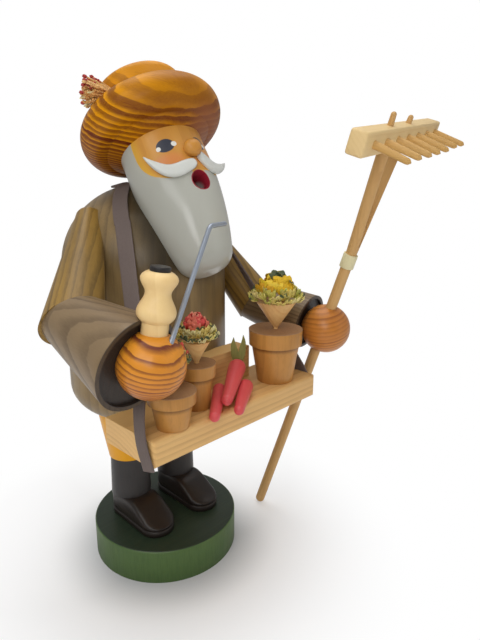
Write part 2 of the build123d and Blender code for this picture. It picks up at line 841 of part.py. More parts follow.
def make_cone(pot, flower):
    origin, up = flower_axis(pot, flower)
    mouth = flower["cone"]
    rise = flower["rise"]
    with BuildPart() as cone:
        with BuildSketch(section(origin, up)):
            with BuildLine():
                ThreePointArc(
                    (flower_peg_radius, cone_lift),
                    (mouth * cone_waist, rise * cone_waist_at),
                    (mouth, rise),
                )
                Polyline((mouth, rise), (0, rise), (0, cone_lift), (flower_peg_radius, cone_lift))
            make_face()
        revolve(axis=Axis(origin, up))
        with Locations(origin):
            Cylinder(flower_peg_radius, flower_peg_length, align=hang_down)
            Cylinder(flower_peg_radius, 2 * cone_lift, align=stand_up)
    return cone


def make_petals(pot, flower, rings):
    """Wavy rings stacked on a flower's axis, each given as its start, height and radius."""
    origin, up = flower_axis(pot, flower)
    with BuildPart() as petals:
        for start, height, radius in rings:
            with BuildSketch(Plane(origin=origin + up * start, z_dir=up)):
                Circle(radius * (1 - petal_size))
                with PolarLocations(radius * (1 - petal_size), flower["petals"]):
                    Circle(radius * petal_size)
            extrude(amount=height)
    return petals


def make_frill(pot, flower):
    return make_petals(pot, flower, [(flower["rise"], frill_height, flower["frill"])])


def make_bloom(pot, flower):
    start = flower["rise"] + frill_height
    lower, upper = flower["layers"]
    button = (start + lower, upper, flower["bloom"] * button_share)
    return make_petals(pot, flower, [(start, lower, flower["bloom"]), button])


plants = {
    "large": (large_pot, large_flower),
    "back": (back_pot, back_flower),
    "front": (front_pot, front_flower),
}
for name, (pot, flower) in plants.items():
    write(make_pot(**pot), f"{name}_pot")
    write(make_cone(pot, flower), f"{name}_flower_cone")
    write(make_frill(pot, flower), f"{name}_flower_frill")
    write(make_bloom(pot, flower), f"{name}_flower_bloom")


# Radishes: three roots and one leaf
def make_root(crown, tip, radius, tip_radius):
    crown = Vector(crown)
    way = along(crown, tip)
    length = (Vector(tip) - crown).length
    with BuildPart() as root:
        with BuildSketch(section(crown, way)):
            with BuildLine():
                Line((0, length), (0, 0))
                TangentArc((0, 0), (radius, radius), tangent=(1, 0))
                Line((radius, radius), (tip_radius, length - tip_radius))
                TangentArc((tip_radius, length - tip_radius), (0, length), tangent=(0, 1))
            make_face()
        revolve(axis=Axis(crown, way))
    return root


roots = {"left": left_root, "right": right_root, "top": top_root}
for name, root in roots.items():
    write(make_root(**root), f"{name}_radish")

leaf_side = Vector(cos(radians(leaf_turn)), sin(radians(leaf_turn)), 0)
leaf_foot = Vector(top_root["crown"]) - along(top_root["crown"], top_root["tip"]) * lie_gap
with BuildPart() as radish_leaf:
    with BuildSketch(Plane(origin=leaf_foot, x_dir=leaf_side, z_dir=leaf_side.cross(Vector(0, 0, 1)))):
        with BuildLine():
            Polyline(
                (-leaf_width * 0.3, 0),
                (-leaf_width / 2, leaf_height * 0.5),
                (-leaf_width * 0.38, leaf_height * 0.93),
                (0, leaf_height - leaf_notch),
                (leaf_width * 0.5, leaf_height),
                (leaf_width / 2, leaf_height * 0.4),
                (leaf_width * 0.25, 0),
                close=True,
            )
        make_face()
    extrude(amount=-leaf_thickness)
write(radish_leaf, "radish_leaf")

# Pipe bowl, bored at the top, with a dark lid and a wire stem
pipe_mouth = pipe_origin + pipe_way * pipe_lip_at
with BuildPart() as pipe_bowl:
    add(make_pipe_form(0).part)
    add(rod(pipe_mouth - pipe_way * pipe_bore_depth, pipe_mouth, pipe_bore_radius).part, mode=Mode.SUBTRACT)
write(pipe_bowl, "pipe_bowl")

with BuildPart() as pipe_lid:
    with BuildSketch(Plane(origin=pipe_mouth, z_dir=pipe_way)):
        Circle(pipe_lid_radius)
    extrude(amount=pipe_lid_height)
    fillet(pipe_lid.edges().sort_by(Axis.Z)[-1], pipe_lid_height / 3)
write(pipe_lid, "pipe_lid")

stem_way = along(stem_foot, stem_bend)
stem_root = Vector(stem_foot) - stem_way * stem_in_hand
with BuildPart() as pipe_stem:
    with BuildLine():
        FilletPolyline(stem_root, stem_bend, stem_tip, radius=stem_bend_radius)
    with BuildSketch(Plane(origin=stem_root, z_dir=stem_way)):
        Circle(stem_radius)
    sweep()
write(pipe_stem, "pipe_stem")

# Hands
with BuildPart() as right_hand:
    with Locations(pipe_origin):
        Sphere(hand_radius)
    seat_start = pipe_origin + pipe_way * pipe_seat
    seat_end = pipe_origin + pipe_way * pipe_foot_top
    add(rod(seat_start, seat_end, pipe_foot_radius + glue_gap).part, mode=Mode.SUBTRACT)
    stem_drill = Vector(stem_foot) + stem_way * stem_in_hand
    add(rod(stem_root, stem_drill, stem_radius + glue_gap).part, mode=Mode.SUBTRACT)
write(right_hand, "right_hand")

rake_origin = Vector(rake_foot)
rake_way = along(rake_foot, rake_grip)
with BuildPart() as left_hand:
    with Locations(left_hand_center):
        Sphere(hand_radius)
    reach = rake_way * (2 * hand_radius)
    grip = Vector(rake_grip)
    add(rod(grip - reach, grip + reach, handle_radius + slide_gap).part, mode=Mode.SUBTRACT)
write(left_hand, "left_hand")

# Rake: a stick split at the top into two prongs, which carry the head
rake_plane = section(rake_origin, rake_way)
rake_side = rake_plane.x_dir * cos(radians(rake_turn)) + rake_plane.z_dir * sin(radians(rake_turn))
rake_front = rake_side.cross(rake_way)
foot_middle = rake_origin + rake_way * (handle_radius / rake_way.Z)
prong_length = rake_head_at - rake_head_height / 2 + prong_seat - split_at
peg_start = prong_length - prong_seat
peg_end = prong_top - split_at - prong_tip_radius
prongs = {
    side: rake_way * cos(radians(prong_spread)) + rake_side * (side * sin(radians(prong_spread)))
    for side in sides.values()
}


def make_prong(side, gap):
    way = prongs[side]
    root = rake_origin + rake_way * split_at
    across = way.cross(rake_front)
    with BuildPart() as prong:
        with BuildSketch(Plane(origin=root, x_dir=across, z_dir=way)):
            with BuildLine():
                CenterArc((0, 0), handle_radius + gap, 90 if side < 0 else -90, 180)
                Line((0, handle_radius + gap), (0, -handle_radius - gap))
            make_face()
        extrude(amount=prong_length)
        peg_middle = root + across * (side * prong_peg_radius)
        peg_tip = (0, peg_end + prong_tip_radius + gap)
        with BuildSketch(section(peg_middle, way)):
            with BuildLine():
                Polyline((0, peg_end), (0, peg_start), (prong_peg_radius + gap, peg_start))
                Line((prong_peg_radius + gap, peg_start), (prong_tip_radius + gap, peg_end))
                TangentArc((prong_tip_radius + gap, peg_end), peg_tip, tangent=(0, 1))
                Line(peg_tip, (0, peg_end))
            make_face()
        revolve(axis=Axis(peg_middle, way))
    return prong


with BuildPart() as rake_handle:
    with Locations(foot_middle):
        Sphere(handle_radius)
    add(rod(foot_middle, rake_origin + rake_way * split_at, handle_radius).part)
    for side in prongs:
        add(make_prong(side, 0).part)
write(rake_handle, "rake_handle")

with BuildPart() as rake_ferrule:
    with BuildSketch(Plane(origin=rake_origin + rake_way * ferrule_at, z_dir=rake_way)):
        Circle(handle_radius + glue_gap + ferrule_wall)
        Circle(handle_radius + glue_gap, mode=Mode.SUBTRACT)
    extrude(amount=ferrule_length)
write(rake_ferrule, "rake_ferrule")

head_side = rake_side * cos(radians(rake_tilt)) + rake_way * sin(radians(rake_tilt))
head_rise = rake_way * cos(radians(rake_tilt)) - rake_side * sin(radians(rake_tilt))
head_middle = rake_origin + rake_way * rake_head_at
tine_way = rake_front * cos(radians(tine_droop)) - head_rise * sin(radians(tine_droop))
tine_roots = [
    head_middle
    + head_side * (tine_shift + tine_pitch * (index - (tine_count - 1) / 2))
    + rake_front * (rake_head_depth / 2)
    - tine_way * tine_in_head
    for index in range(tine_count)
]


def make_tine(root, gap):
    with BuildPart() as tine:
        with BuildSketch(section(root, tine_way)):
            with BuildLine():
                Polyline(
                    (0, 0),
                    (tine_radius + gap, 0),
                    (tine_radius + gap, tine_in_head),
                    (tine_tip_radius + gap, tine_in_head + tine_length),
                    (0, tine_in_head + tine_length),
                    close=True,
                )
            make_face()
        revolve(axis=Axis(root, tine_way))
    return tine


with BuildPart() as rake_head:
    bar_middle = head_middle + head_side * rake_head_shift
    with BuildSketch(Plane(origin=bar_middle, x_dir=head_side, z_dir=head_rise)):
        Rectangle(rake_head_length, rake_head_depth)
    extrude(amount=rake_head_height / 2, both=True)
    for side in prongs:
        add(make_prong(side, glue_gap).part, mode=Mode.SUBTRACT)
    for root in tine_roots:
        add(make_tine(root, glue_gap).part, mode=Mode.SUBTRACT)
write(rake_head, "rake_head")

for number, root in enumerate(tine_roots, start=1):
    write(make_tine(root, 0), f"rake_tine_{number}")
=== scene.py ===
import math
import bpy
import bmesh
from mathutils import Matrix, Vector


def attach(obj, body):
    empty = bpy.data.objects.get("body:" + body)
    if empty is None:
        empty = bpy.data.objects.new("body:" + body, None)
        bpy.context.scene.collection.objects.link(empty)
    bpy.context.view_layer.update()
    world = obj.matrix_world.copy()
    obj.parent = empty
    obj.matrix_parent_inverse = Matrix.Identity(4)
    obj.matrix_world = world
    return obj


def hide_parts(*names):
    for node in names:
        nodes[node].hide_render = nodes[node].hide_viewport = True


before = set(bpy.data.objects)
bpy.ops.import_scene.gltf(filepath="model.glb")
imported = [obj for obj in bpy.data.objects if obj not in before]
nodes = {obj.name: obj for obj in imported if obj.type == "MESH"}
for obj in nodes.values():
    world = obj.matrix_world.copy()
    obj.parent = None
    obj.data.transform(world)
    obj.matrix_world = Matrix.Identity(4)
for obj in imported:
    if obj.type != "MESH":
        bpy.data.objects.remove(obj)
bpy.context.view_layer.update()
mm = 0.001
print("frame loaded,", len(nodes), "nodes")

scene = bpy.context.scene
scene.view_settings.view_transform = "Standard"


# Shader maths: a Wire holds one socket, and sums of wires add Math nodes
class Wire:
    def __init__(self, tree, socket=None):
        self.tree = tree
        self.socket = socket

    def add(self, kind, settings=None, sockets=None, out=0):
        node = self.tree.nodes.new(kind)
        for key, value in (settings or {}).items():
            if key == "stops":
                self.setStops(node.color_ramp, value)
            elif key == "ramp":
                node.color_ramp.interpolation = value
            else:
                setattr(node, key, value)
        for key, value in (sockets or {}).items():
            if isinstance(value, Wire):
                self.tree.links.new(value.socket, node.inputs[key])
            else:
                node.inputs[key].default_value = value
        return Wire(self.tree, node.outputs[out] if len(node.outputs) else None)

    def setStops(self, ramp, stops):
        while len(ramp.elements) < len(stops):
            ramp.elements.new(1.0)
        for element, (place, color) in zip(ramp.elements, stops):
            element.position = place
            element.color = color

    def other(self, out):
        return Wire(self.tree, self.socket.node.outputs[out])

    def parts(self):
        x = self.add("ShaderNodeSeparateXYZ", None, {0: self})
        return x, x.other(1), x.other(2)

    def math(self, operation, *values):
        return self.add("ShaderNodeMath", {"operation": operation}, dict(enumerate(values)))

    def __add__(self, value):
        return self.math("ADD", self, value)

    def __radd__(self, value):
        return self.math("ADD", value, self)

    def __sub__(self, value):
        return self.math("SUBTRACT", self, value)

    def __rsub__(self, value):
        return self.math("SUBTRACT", value, self)

    def __mul__(self, value):
        return self.math("MULTIPLY", self, value)

    def __rmul__(self, value):
        return self.math("MULTIPLY", value, self)

    def __truediv__(self, value):
        return self.math("DIVIDE", self, value)

    def __rtruediv__(self, value):
        return self.math("DIVIDE", value, self)

    def __pow__(self, value):
        return self.math("POWER", self, value)

    def __abs__(self):
        return self.math("ABSOLUTE", self)

    def sine(self):
        return self.math("SINE", self)

    def cosine(self):
        return self.math("COSINE", self)

    def larger(self, value):
        return self.math("MAXIMUM", self, value)

    def over(self, low, high):  # 0 below low, 1 above high, smooth between
        settings = {"interpolation_type": "SMOOTHSTEP"}
        return self.add("ShaderNodeMapRange", settings, {"Value": self, "From Min": low, "From Max": high})

    def under(self, low, high):
        return 1 - self.over(low, high)

    def clamp(self):
        return self.add("ShaderNodeClamp", None, {0: self})


def rgb(*color):  # a colour on the usual scale to 255, made linear
    linear = []
    for value in color:
        share = value / 255
        linear.append(share / 12.92 if value < 10.3 else ((share + 0.055) / 1.055) ** 2.4)
    return (*linear, 1.0)


def mixColor(factor, first, second):
    settings = {"data_type": "RGBA", "clamp_factor": True}
    return factor.add("ShaderNodeMix", settings, {0: factor, 6: first, 7: second}, out=2)


def noise(vector, scale, detail=2.0, rough=0.5):
    sockets = {"Vector": vector, "Scale": scale, "Detail": detail, "Roughness": rough}
    return vector.add("ShaderNodeTexNoise", None, sockets)


def joinXyz(x, y, z):
    wire = next(value for value in (x, y, z) if isinstance(value, Wire))
    return wire.add("ShaderNodeCombineXYZ", None, {0: x, 1: y, 2: z})


def axesTurn(first, third):
    first = Vector(first).normalized()
    third = Vector(third)
    third = (third - first * third.dot(first)).normalized()
    return Matrix((first, third.cross(first), third)).transposed().to_euler()


def inFrame(point, centre, first, third):  # point in millimetres along first, across, and along third
    sockets = {
        "Vector": point,
        "Location": Vector(centre) * mm,
        "Rotation": axesTurn(first, third),
        "Scale": (mm, mm, mm),
    }
    return point.add("ShaderNodeMapping", {"vector_type": "TEXTURE"}, sockets)


def startFinish(name):
    finish = bpy.data.materials.new(name)
    finish.use_nodes = True
    finish.node_tree.nodes.clear()
    tree = Wire(finish.node_tree)
    return finish, tree, tree.add("ShaderNodeTexCoord", out=3)


def endFinish(tree, color, rough, height, depth, constants):
    bump = {"Height": height, "Strength": 1.0, "Distance": depth * mm}
    sockets = {"Base Color": color, "Roughness": rough, **constants}
    sockets["Normal"] = tree.add("ShaderNodeBump", None, bump)
    shader = tree.add("ShaderNodeBsdfPrincipled", None, sockets)
    tree.add("ShaderNodeOutputMaterial", None, {0: shader})


# Wood: layers round a far pith, fine fibres, a soft drift of tone
woodBase = dict(
    fibre=(0, 0, 1),
    layer=(-0.6, -0.75, 0.1),  # the way from the pith to the bark
    centre=(0, 0, 100),
    pith=60.0,
    ring=2.2,
    firstYear=40.0,
    squeeze=0.0,
    wobble=3.0,
    drift=0.035,
    driftRun=0.3,  # each run stretches its noise along the fibre
    jitter=0.8,
    shiver=0.32,
    shiverRun=0.16,
    hair=2.4,
    hairRun=0.05,
    hairDetail=(3.0, 0.7),
    cloud=0.06,
    cloudRun=0.5,
    cloudDetail=3.0,
    cloudSpan=(0.35, 0.8),
    sharp=(0.3, 0.9),  # how a year's dark wood starts
    ending=(0.94, 1.0),
    contrast=0.8,
    streak=0.35,
    blotch=0.3,
    even=0.25,
    # lowShade: painted shade, darker towards the low side of the layers: start, end and how much
    lowShade=(-100.0, -99.0, 0.0),
    pale=(0.0, 1.0, 0.0),
    rough=0.45,
    hairRough=0.16,
    lateRough=0.05,
    coat=0.06,
    coatRough=0.25,
    gloss=0.3,
    bump=0.05,
    hairHigh=0.6,
    lateDeep=0.5,
)


def turnedWood(name, paint=None, **changes):
    look = {**woodBase, **changes}
    finish, tree, point = startFinish(name)
    x, y, z = inFrame(point, look["centre"], look["fibre"], look["layer"]).parts()
    drift = noise(joinXyz(x * look["driftRun"], y, z), look["drift"])
    shiver = noise(joinXyz(x * look["shiverRun"], y, z), look["shiver"])
    hair = noise(joinXyz(x * look["hairRun"], y, z), look["hair"], *look["hairDetail"])
    cloud = noise(joinXyz(x * look["cloudRun"], y, z), look["cloud"], look["cloudDetail"])
    deep = z + look["pith"]
    depth = (deep * deep + y * y) ** 0.5 - look["pith"]
    depth = depth + (drift - 0.5) * look["wobble"] + (shiver - 0.5) * look["jitter"]
    ring = (depth + depth * depth * look["squeeze"]) / look["ring"] + look["firstYear"]
    year = ring.math("FLOOR", ring)
    season = ring - year
    rand = year.add("ShaderNodeTexWhiteNoise", {"noise_dimensions": "1D"}, {"W": year})
    late = season.over(*look["sharp"]) * season.under(*look["ending"])
    late = late * (look["even"] + (1 - look["even"]) * rand)
    paleStart, paleEnd, paleMost = look["pale"]
    late = late * (1 - depth.over(paleStart, paleEnd) * paleMost)
    mask = (late * look["contrast"] + (hair - 0.5) * look["streak"]).clamp()
    color = mixColor(mask, rgb(*look["light"]), rgb(*look["dark"]))
    shade = rgb(*look.get("shade", look["dark"]))
    color = mixColor(cloud.over(*look["cloudSpan"]) * look["blotch"], color, shade)
    # painted shade: darker towards the low side of the layers
    lowShadeStart, lowShadeEnd, lowShadeMost = look["lowShade"]
    color = mixColor(depth.under(lowShadeStart, lowShadeEnd) * lowShadeMost, color, shade)
    rough = look["rough"] + (hair - 0.5) * look["hairRough"] + late * look["lateRough"]
    if paint:
        color, rough = paint(point, color, rough, hair)
    constants = {
        "Coat Weight": look["coat"],
        "Coat Roughness": look["coatRough"],
        "Specular IOR Level": look["gloss"],
    }
    height = hair * look["hairHigh"] - late * look["lateDeep"]
    endFinish(tree, color, rough, height, look["bump"], constants)
    return finish


# A coat of paint or stain over wood, with brush marks and worn spots
brushBase = dict(
    way=(0, 0, 1),
    across=(0.3, -0.8, 0.4),
    stroke=1.6,
    strokeRun=0.08,
    strokeDetail=(3.0, 0.65),
    strokeMiddle=0.42,
    cloud=0.09,
    cloudDetail=3.0,
    grit=1.1,
    marks=0.35,
    spots=0.25,
    rough=0.4,
    strokeRough=0.18,
    gritRough=0.08,
    coat=0.1,
    coatRough=0.2,
    gloss=0.3,
    metal=0.0,
    bump=0.04,
    strokeHigh=0.7,
    gritHigh=0.3,
)


def brushed(name, color, worn, paint=None, **changes):
    look = {**brushBase, **changes}
    finish, tree, point = startFinish(name)
    x, y, z = inFrame(point, (0, 0, 0), look["way"], look["across"]).parts()
    strokes = noise(joinXyz(x * look["strokeRun"], y, z), look["stroke"], *look["strokeDetail"])
    cloud = noise(joinXyz(x, y, z), look["cloud"], look["cloudDetail"])
    grit = noise(joinXyz(x, y, z), look["grit"])
    marks = (strokes - look["strokeMiddle"]) * (look["marks"] * 2)
    mask = (marks + (cloud - 0.5) * (look["spots"] * 2)).clamp()
    shade = mixColor(mask, rgb(*color), rgb(*worn))
    rough = look["rough"] + (strokes - 0.5) * look["strokeRough"] + (grit - 0.5) * look["gritRough"]
    if paint:
        shade, rough = paint(point, shade, rough, strokes)
    constants = {
        "Coat Weight": look["coat"],
        "Coat Roughness": look["coatRough"],
        "Specular IOR Level": look["gloss"],
        "Metallic": look["metal"],
    }
    height = strokes * look["strokeHigh"] + grit * look["gritHigh"]
    endFinish(tree, shade, rough, height, look["bump"], constants)
    return finish


def dress(finish, *names):
    for name in names:
        node = nodes[name]
        node.data.materials.clear()
        node.data.materials.append(finish)


# Camera at the photograph's view
cameraView = dict(
    place=(-0.14046, -0.18729, 0.17352), azimuth=-46.13, pitch=14.29, roll=0.14,
    lens=28.8, sensor=36.0, nearest=0.01,
)
cameraData = bpy.data.cameras.new("photoCamera")
cameraData.lens = cameraView["lens"]
cameraData.sensor_width = cameraView["sensor"]
cameraData.clip_start = cameraView["nearest"]
camera = bpy.data.objects.new("photoCamera", cameraData)
scene.collection.objects.link(camera)
camera.matrix_world = (
    Matrix.Translation(cameraView["place"])
    @ Matrix.Rotation(math.radians(cameraView["azimuth"]), 4, "Z")
    @ Matrix.Rotation(math.radians(90 - cameraView["pitch"]), 4, "X")
    @ Matrix.Rotation(math.radians(cameraView["roll"]), 4, "Z")
)
scene.camera = camera

# Floor: pale, with a painted soft shadow ring round the base, running out into a white backdrop
floorLook = dict(
    half=4.0,
    pale=((252, 252, 252), (248, 248, 249)),
    cloud=3.0,
    rough=0.8,
    # ring: the tone of the painted contact shadow round the base
    ring=(184, 184, 186),
    shadowRingSpan=(0.03, 0.06),
    near=(0.035, 0.125),
    least=0.06,
    ahead=(0.72, 0.69),  # the way that the camera looks
    back=(-0.02, 0.1),
    backMost=0.95,
    left=(0.0, 0.1),
    leftMost=0.8,
)
half = floorLook["half"]
corners = [(-half, -half, 0), (half, -half, 0), (half, half, 0), (-half, half, 0)]
floorMesh = bpy.data.meshes.new("floor")
floorMesh.from_pydata(corners, [], [(0, 1, 2, 3)])
floor = bpy.data.objects.new("floor", floorMesh)
scene.collection.objects.link(floor)
floorFinish, tree, point = startFinish("paleFloor")
x, y, _ = point.parts()
away = (x * x + y * y) ** 0.5
floorTone = mixColor(noise(point, floorLook["cloud"]), *(rgb(*tone) for tone in floorLook["pale"]))
# painted contact shadow: darker close round the base
floorTone = mixColor(away.under(*floorLook["shadowRingSpan"]), floorTone, rgb(*floorLook["ring"]))
aheadX, aheadY = floorLook["ahead"]
white = away.over(*floorLook["near"]) * (1 - floorLook["least"]) + floorLook["least"]
back = (x * aheadX + y * aheadY).over(*floorLook["back"]) * floorLook["backMost"]
left = (y * aheadX - x * aheadY).over(*floorLook["left"]) * floorLook["leftMost"]
white = white.larger(back.larger(left)) * tree.add("ShaderNodeLightPath", out=0)
floorSockets = {"Base Color": floorTone, "Roughness": floorLook["rough"]}
floorPaint = tree.add("ShaderNodeBsdfPrincipled", None, floorSockets)
floorGlow = tree.add("ShaderNodeEmission", None, {0: (1, 1, 1, 1), 1: 1.0})
floorMix = tree.add("ShaderNodeMixShader", None, {0: white, 1: floorPaint, 2: floorGlow})
tree.add("ShaderNodeOutputMaterial", None, {0: floorMix})
floorMesh.materials.append(floorFinish)

# Soft lamps round the figure, all aimed at its middle
lampAim = Vector((0, 0, 0.11))
lamps = dict(
    key=dict(place=(-0.62, -0.2, 0.62), size=0.4, power=1.5),
    fill=dict(place=(0.35, -0.75, 0.35), size=0.6, power=0.6),
    top=dict(place=(0.1, 0.1, 1.0), size=0.8, power=4.2),
    window=dict(place=(-0.213, -0.229, 0.25), size=0.09, tall=0.13, power=0.2),
)
for name, lamp in lamps.items():
    lampData = bpy.data.lights.new(name, "AREA")
    lampData.energy = lamp["power"]
    lampData.size = lamp["size"]
    if "tall" in lamp:
        lampData.shape = "RECTANGLE"
        lampData.size_y = lamp["tall"]
    lampObject = bpy.data.objects.new(name, lampData)
    place = Vector(lamp["place"])
    turn = (lampAim - place).to_track_quat("-Z", "Y")
    lampObject.matrix_world = Matrix.Translation(place) @ turn.to_matrix().to_4x4()
    scene.collection.objects.link(lampObject)

# Sky: grey light, brighter from above and behind, white where the camera sees it
skyLook = dict(
    way=(0.35, 0.35, 0.85),
    span=(-0.7, 0.9),
    low=(0.08, 0.08, 0.08, 1),
    high=(0.46, 0.46, 0.46, 1),
)
world = bpy.data.worlds.new("studio")
world.use_nodes = True
world.node_tree.nodes.clear()
scene.world = world
sky = Wire(world.node_tree)
x, y, z = sky.add("ShaderNodeTexCoord", out=0).parts()
wayX, wayY, wayZ = skyLook["way"]
skyGlow = (x * wayX + y * wayY + z * wayZ).over(*skyLook["span"])
skyTone = mixColor(skyGlow, skyLook["low"], skyLook["high"])
skySeen = sky.add("ShaderNodeLightPath", out=0)
skyLight = sky.add("ShaderNodeBackground", None, {0: skyTone, 1: 1.0})
skyWhite = sky.add("ShaderNodeBackground", None, {0: (1, 1, 1, 1), 1: 1.0})
skyMix = sky.add("ShaderNodeMixShader", None, {0: skySeen, 1: skyLight, 2: skyWhite})
sky.add("ShaderNodeOutputWorld", None, {0: skyMix})
print("camera, floor and light placed")


# Base: a stained disc, darker green on top
baseLook = dict(top=(15.9, 16.2), tones=((32, 44, 32), (48, 62, 44)), run=20, across=900, topRough=0.05)


def baseTop(point, color, rough, hair):
    x, y, z = point.parts()
    top = (z / mm).over(*baseLook["top"])
    lines = noise(joinXyz(x * baseLook["run"], y * baseLook["across"], z * baseLook["run"]), 1.0, 3.0)
    dark = mixColor(lines, *(rgb(*tone) for tone in baseLook["tones"]))
    return mixColor(top, color, dark), rough + top * baseLook["topRough"]


dress(brushed("greenStain", (78, 104, 54), (50, 74, 38), baseTop, rough=0.45, marks=0.5), "base")
dress(brushed("bootPaint", (54, 51, 50), (38, 36, 36), rough=0.42), "right_boot_leg", "left_boot_leg")
trouserPaint = brushed("trouserPaint", (234, 164, 18), (216, 138, 12), rough=0.36, marks=0.3)
dress(trouserPaint, "right_trouser_leg", "left_trouser_leg")

# Where the head sits, for the paint on it, the shade round it and the pieces that it carries
headPlace = dict(
    origin=(0, -11.6, 180),
    up=(0, 0.524, 0.852),
    ahead=(0, -0.852, 0.524),
    faceFront=(-0.1115, -0.8467, 0.5207),
    radius=17.5,
)
headOrigin = Vector(headPlace["origin"])
headUp = Vector(headPlace["up"])
headAhead = Vector(headPlace["ahead"])
faceFront = Vector(headPlace["faceFront"])


def roundHead(point):  # degrees from the face's middle, distance from the head's axis, height along it
    ahead, aside, height = inFrame(point, headOrigin, faceFront, headUp).parts()
    turned = aside.math("ARCTAN2", aside, ahead) * (180 / math.pi)
    return turned, (ahead * ahead + aside * aside) ** 0.5, height


# painted shadow of the beard on the coat
beardShade = dict(tone=(34, 30, 22), out=(17.0, 33.0), low=(-49.0, -37.0), high=(-4.0, 8.0), most=0.85)


def beardShadowPaint(point, color, rough, hair):  # painted shadow: the coat is darker where the beard shades it
    look = beardShade
    _, radial, height = roundHead(point)
    shade = radial.under(*look["out"]) * height.over(*look["low"]) * height.under(*look["high"])
    return mixColor(shade * look["most"], color, rgb(*look["tone"])), rough


hatShade = dict(
    # painted shade darker above the face, and few lines under the left of the brim
    browShade=dict(tone=(104, 48, 20), turn=(-70.0, -25.0), high=(15.0, 28.0), most=0.42),
    calm=dict(tone=(146, 84, 44), turn=(6.0, 32.0), high=(14.0, 19.0), most=0.75),
    crown=dict(tone=(222, 150, 34), high=(31.0, 36.0), most=0.55),
)


def calmHat(point, color, rough, hair):  # fewer lines on the crown and under the brim
    turned, _, height = roundHead(point)
    for look in (hatShade["browShade"], hatShade["calm"]):
        shade = turned.over(*look["turn"]) * height.under(*look["high"]) * look["most"]
        color = mixColor(shade, color, rgb(*look["tone"]))
    crown = hatShade["crown"]
    return mixColor(height.over(*crown["high"]) * crown["most"], color, rgb(*crown["tone"])), rough


# Coat, arms and hands, each with its own run of the grain
coatGrain = dict(
    light=(158, 124, 60), dark=(82, 64, 38), shade=(70, 58, 42),
    rough=0.38, streak=0.9, blotch=0.75, contrast=0.75, jitter=1.6,
)
coatTone = {**coatGrain, "light": (150, 124, 80), "dark": (86, 71, 51), "contrast": 0.5}
coatRun = dict(centre=(0, 9, 110), layer=(0.7, -0.7, 0), pith=300, ring=4.2, wobble=9.0, drift=0.02)
dress(turnedWood("coatWood", beardShadowPaint, **coatTone, **coatRun), "coat")
armGrain = {**coatGrain, "contrast": 0.7, "even": 0.5, "blotch": 0.4}
armRuns = dict(
    right=dict(
        fibre=(-26.7, -30.1, -38.1), centre=(-40, -6, 146), layer=(0.72, -0.69, 0.04), pith=240, ring=2.7,
    ),
    left=dict(fibre=(23.3, -22, -46.8), centre=(39, -2, 142), layer=(0.72, -0.6, 0.3), pith=200, ring=2.4),
)
for side, run in armRuns.items():
    dress(turnedWood(side + "ArmWood", **armGrain, **run), side + "_upper_arm")

sleeveGrain = dict(
    light=(138, 116, 86), dark=(96, 78, 56), shade=(108, 88, 66),
    rough=0.4, contrast=0.85, streak=0.6, blotch=0.4, even=0.5,
)
sleeveRuns = dict(
    right=dict(fibre=(3.7, -33.5, -9.1), centre=(-52, -38, 122), layer=(-0.9, -0.2, 0.35), pith=26, ring=2.3),
    left=dict(fibre=(4.6, -32.1, -6.9), centre=(53, -30, 115), layer=(0.8, -0.4, 0.4), pith=26, ring=1.7),
)
sleeveCuffs = dict(
    right=dict(at=(-50.2, -55.05, 118.4), radius=16.8),
    left=dict(at=(55.1, -45.6, 111.9), radius=13.2),
)
cuffLook = dict(
    tones=((36, 31, 28), (62, 53, 45)), start=(-2.0, -1.7), wall=(1.4, 1.2), rim=(-0.5, -0.1), rimMost=0.8,
)


def sleeveFinish(name, run, cuff):  # the sunk end and the end face of a sleeve are near black
    def darkEnd(point, color, rough, hair):
        x, y, z = inFrame(point, cuff["at"], run["fibre"], run["layer"]).parts()
        inside = [cuff["radius"] - wall for wall in cuffLook["wall"]]
        sunk = x.over(*cuffLook["start"]) * ((y * y + z * z) ** 0.5).under(*inside)
        rim = x.over(*cuffLook["rim"]) * cuffLook["rimMost"]
        dark = mixColor(hair, *(rgb(*tone) for tone in cuffLook["tones"]))
        return mixColor(sunk.larger(rim), color, dark), rough

    return turnedWood(name, darkEnd, **sleeveGrain, **run)


for side, run in sleeveRuns.items():
    dress(sleeveFinish(side + "SleeveWood", run, sleeveCuffs[side]), side + "_sleeve")

handGrain = dict(
    light=(226, 148, 44), dark=(106, 46, 30), shade=(158, 84, 36), rough=0.34, coat=0.12, contrast=1.0,
)
rightHand = dict(
    fibre=(0.7, -0.7, -0.2), layer=(0.14, -0.14, 1), centre=(-48.3, -59.4, 119.1), pith=34, ring=1.8,
    squeeze=-0.024, lowShade=(-12.0, 3.0, 0.75), wobble=3.5, drift=0.07, sharp=(0.4, 0.9), jitter=1.5, even=0.65,
)
dress(turnedWood("rightHandWood", **handGrain, **rightHand), "right_hand")
leftTone = {**handGrain, "light": (198, 128, 54), "dark": (126, 70, 32), "contrast": 0.75}
leftHand = dict(
    fibre=(0.7, -0.7, 0.2), layer=(0.3, 0.2, 1), centre=(56.4, -54.3, 110), pith=16, ring=1.7, wobble=2.0,
)
dress(turnedWood("leftHandWood", **leftTone, **leftHand), "left_hand")

hatGrain = dict(
    light=(232, 156, 10), dark=(96, 30, 10), shade=(114, 50, 18),
    rough=0.36, coat=0.03, gloss=0.14, contrast=1.0, streak=0.6, even=0.6,
)
hatRun = dict(
    fibre=(0.717, -0.643, -0.27), layer=(0.017, -0.371, 0.928), centre=(0, 6, 208), pith=70, ring=2.7,
    squeeze=-0.0137, lowShade=(-26.0, 12.0, 0.5), wobble=11.0, drift=0.03, sharp=(0.02, 0.64), jitter=2.2,
    pale=(6.0, 18.0, 0.5),
)
dress(turnedWood("hatWood", calmHat, **hatGrain, **hatRun), "hat")
print("coat, arms, hands and hat finished")


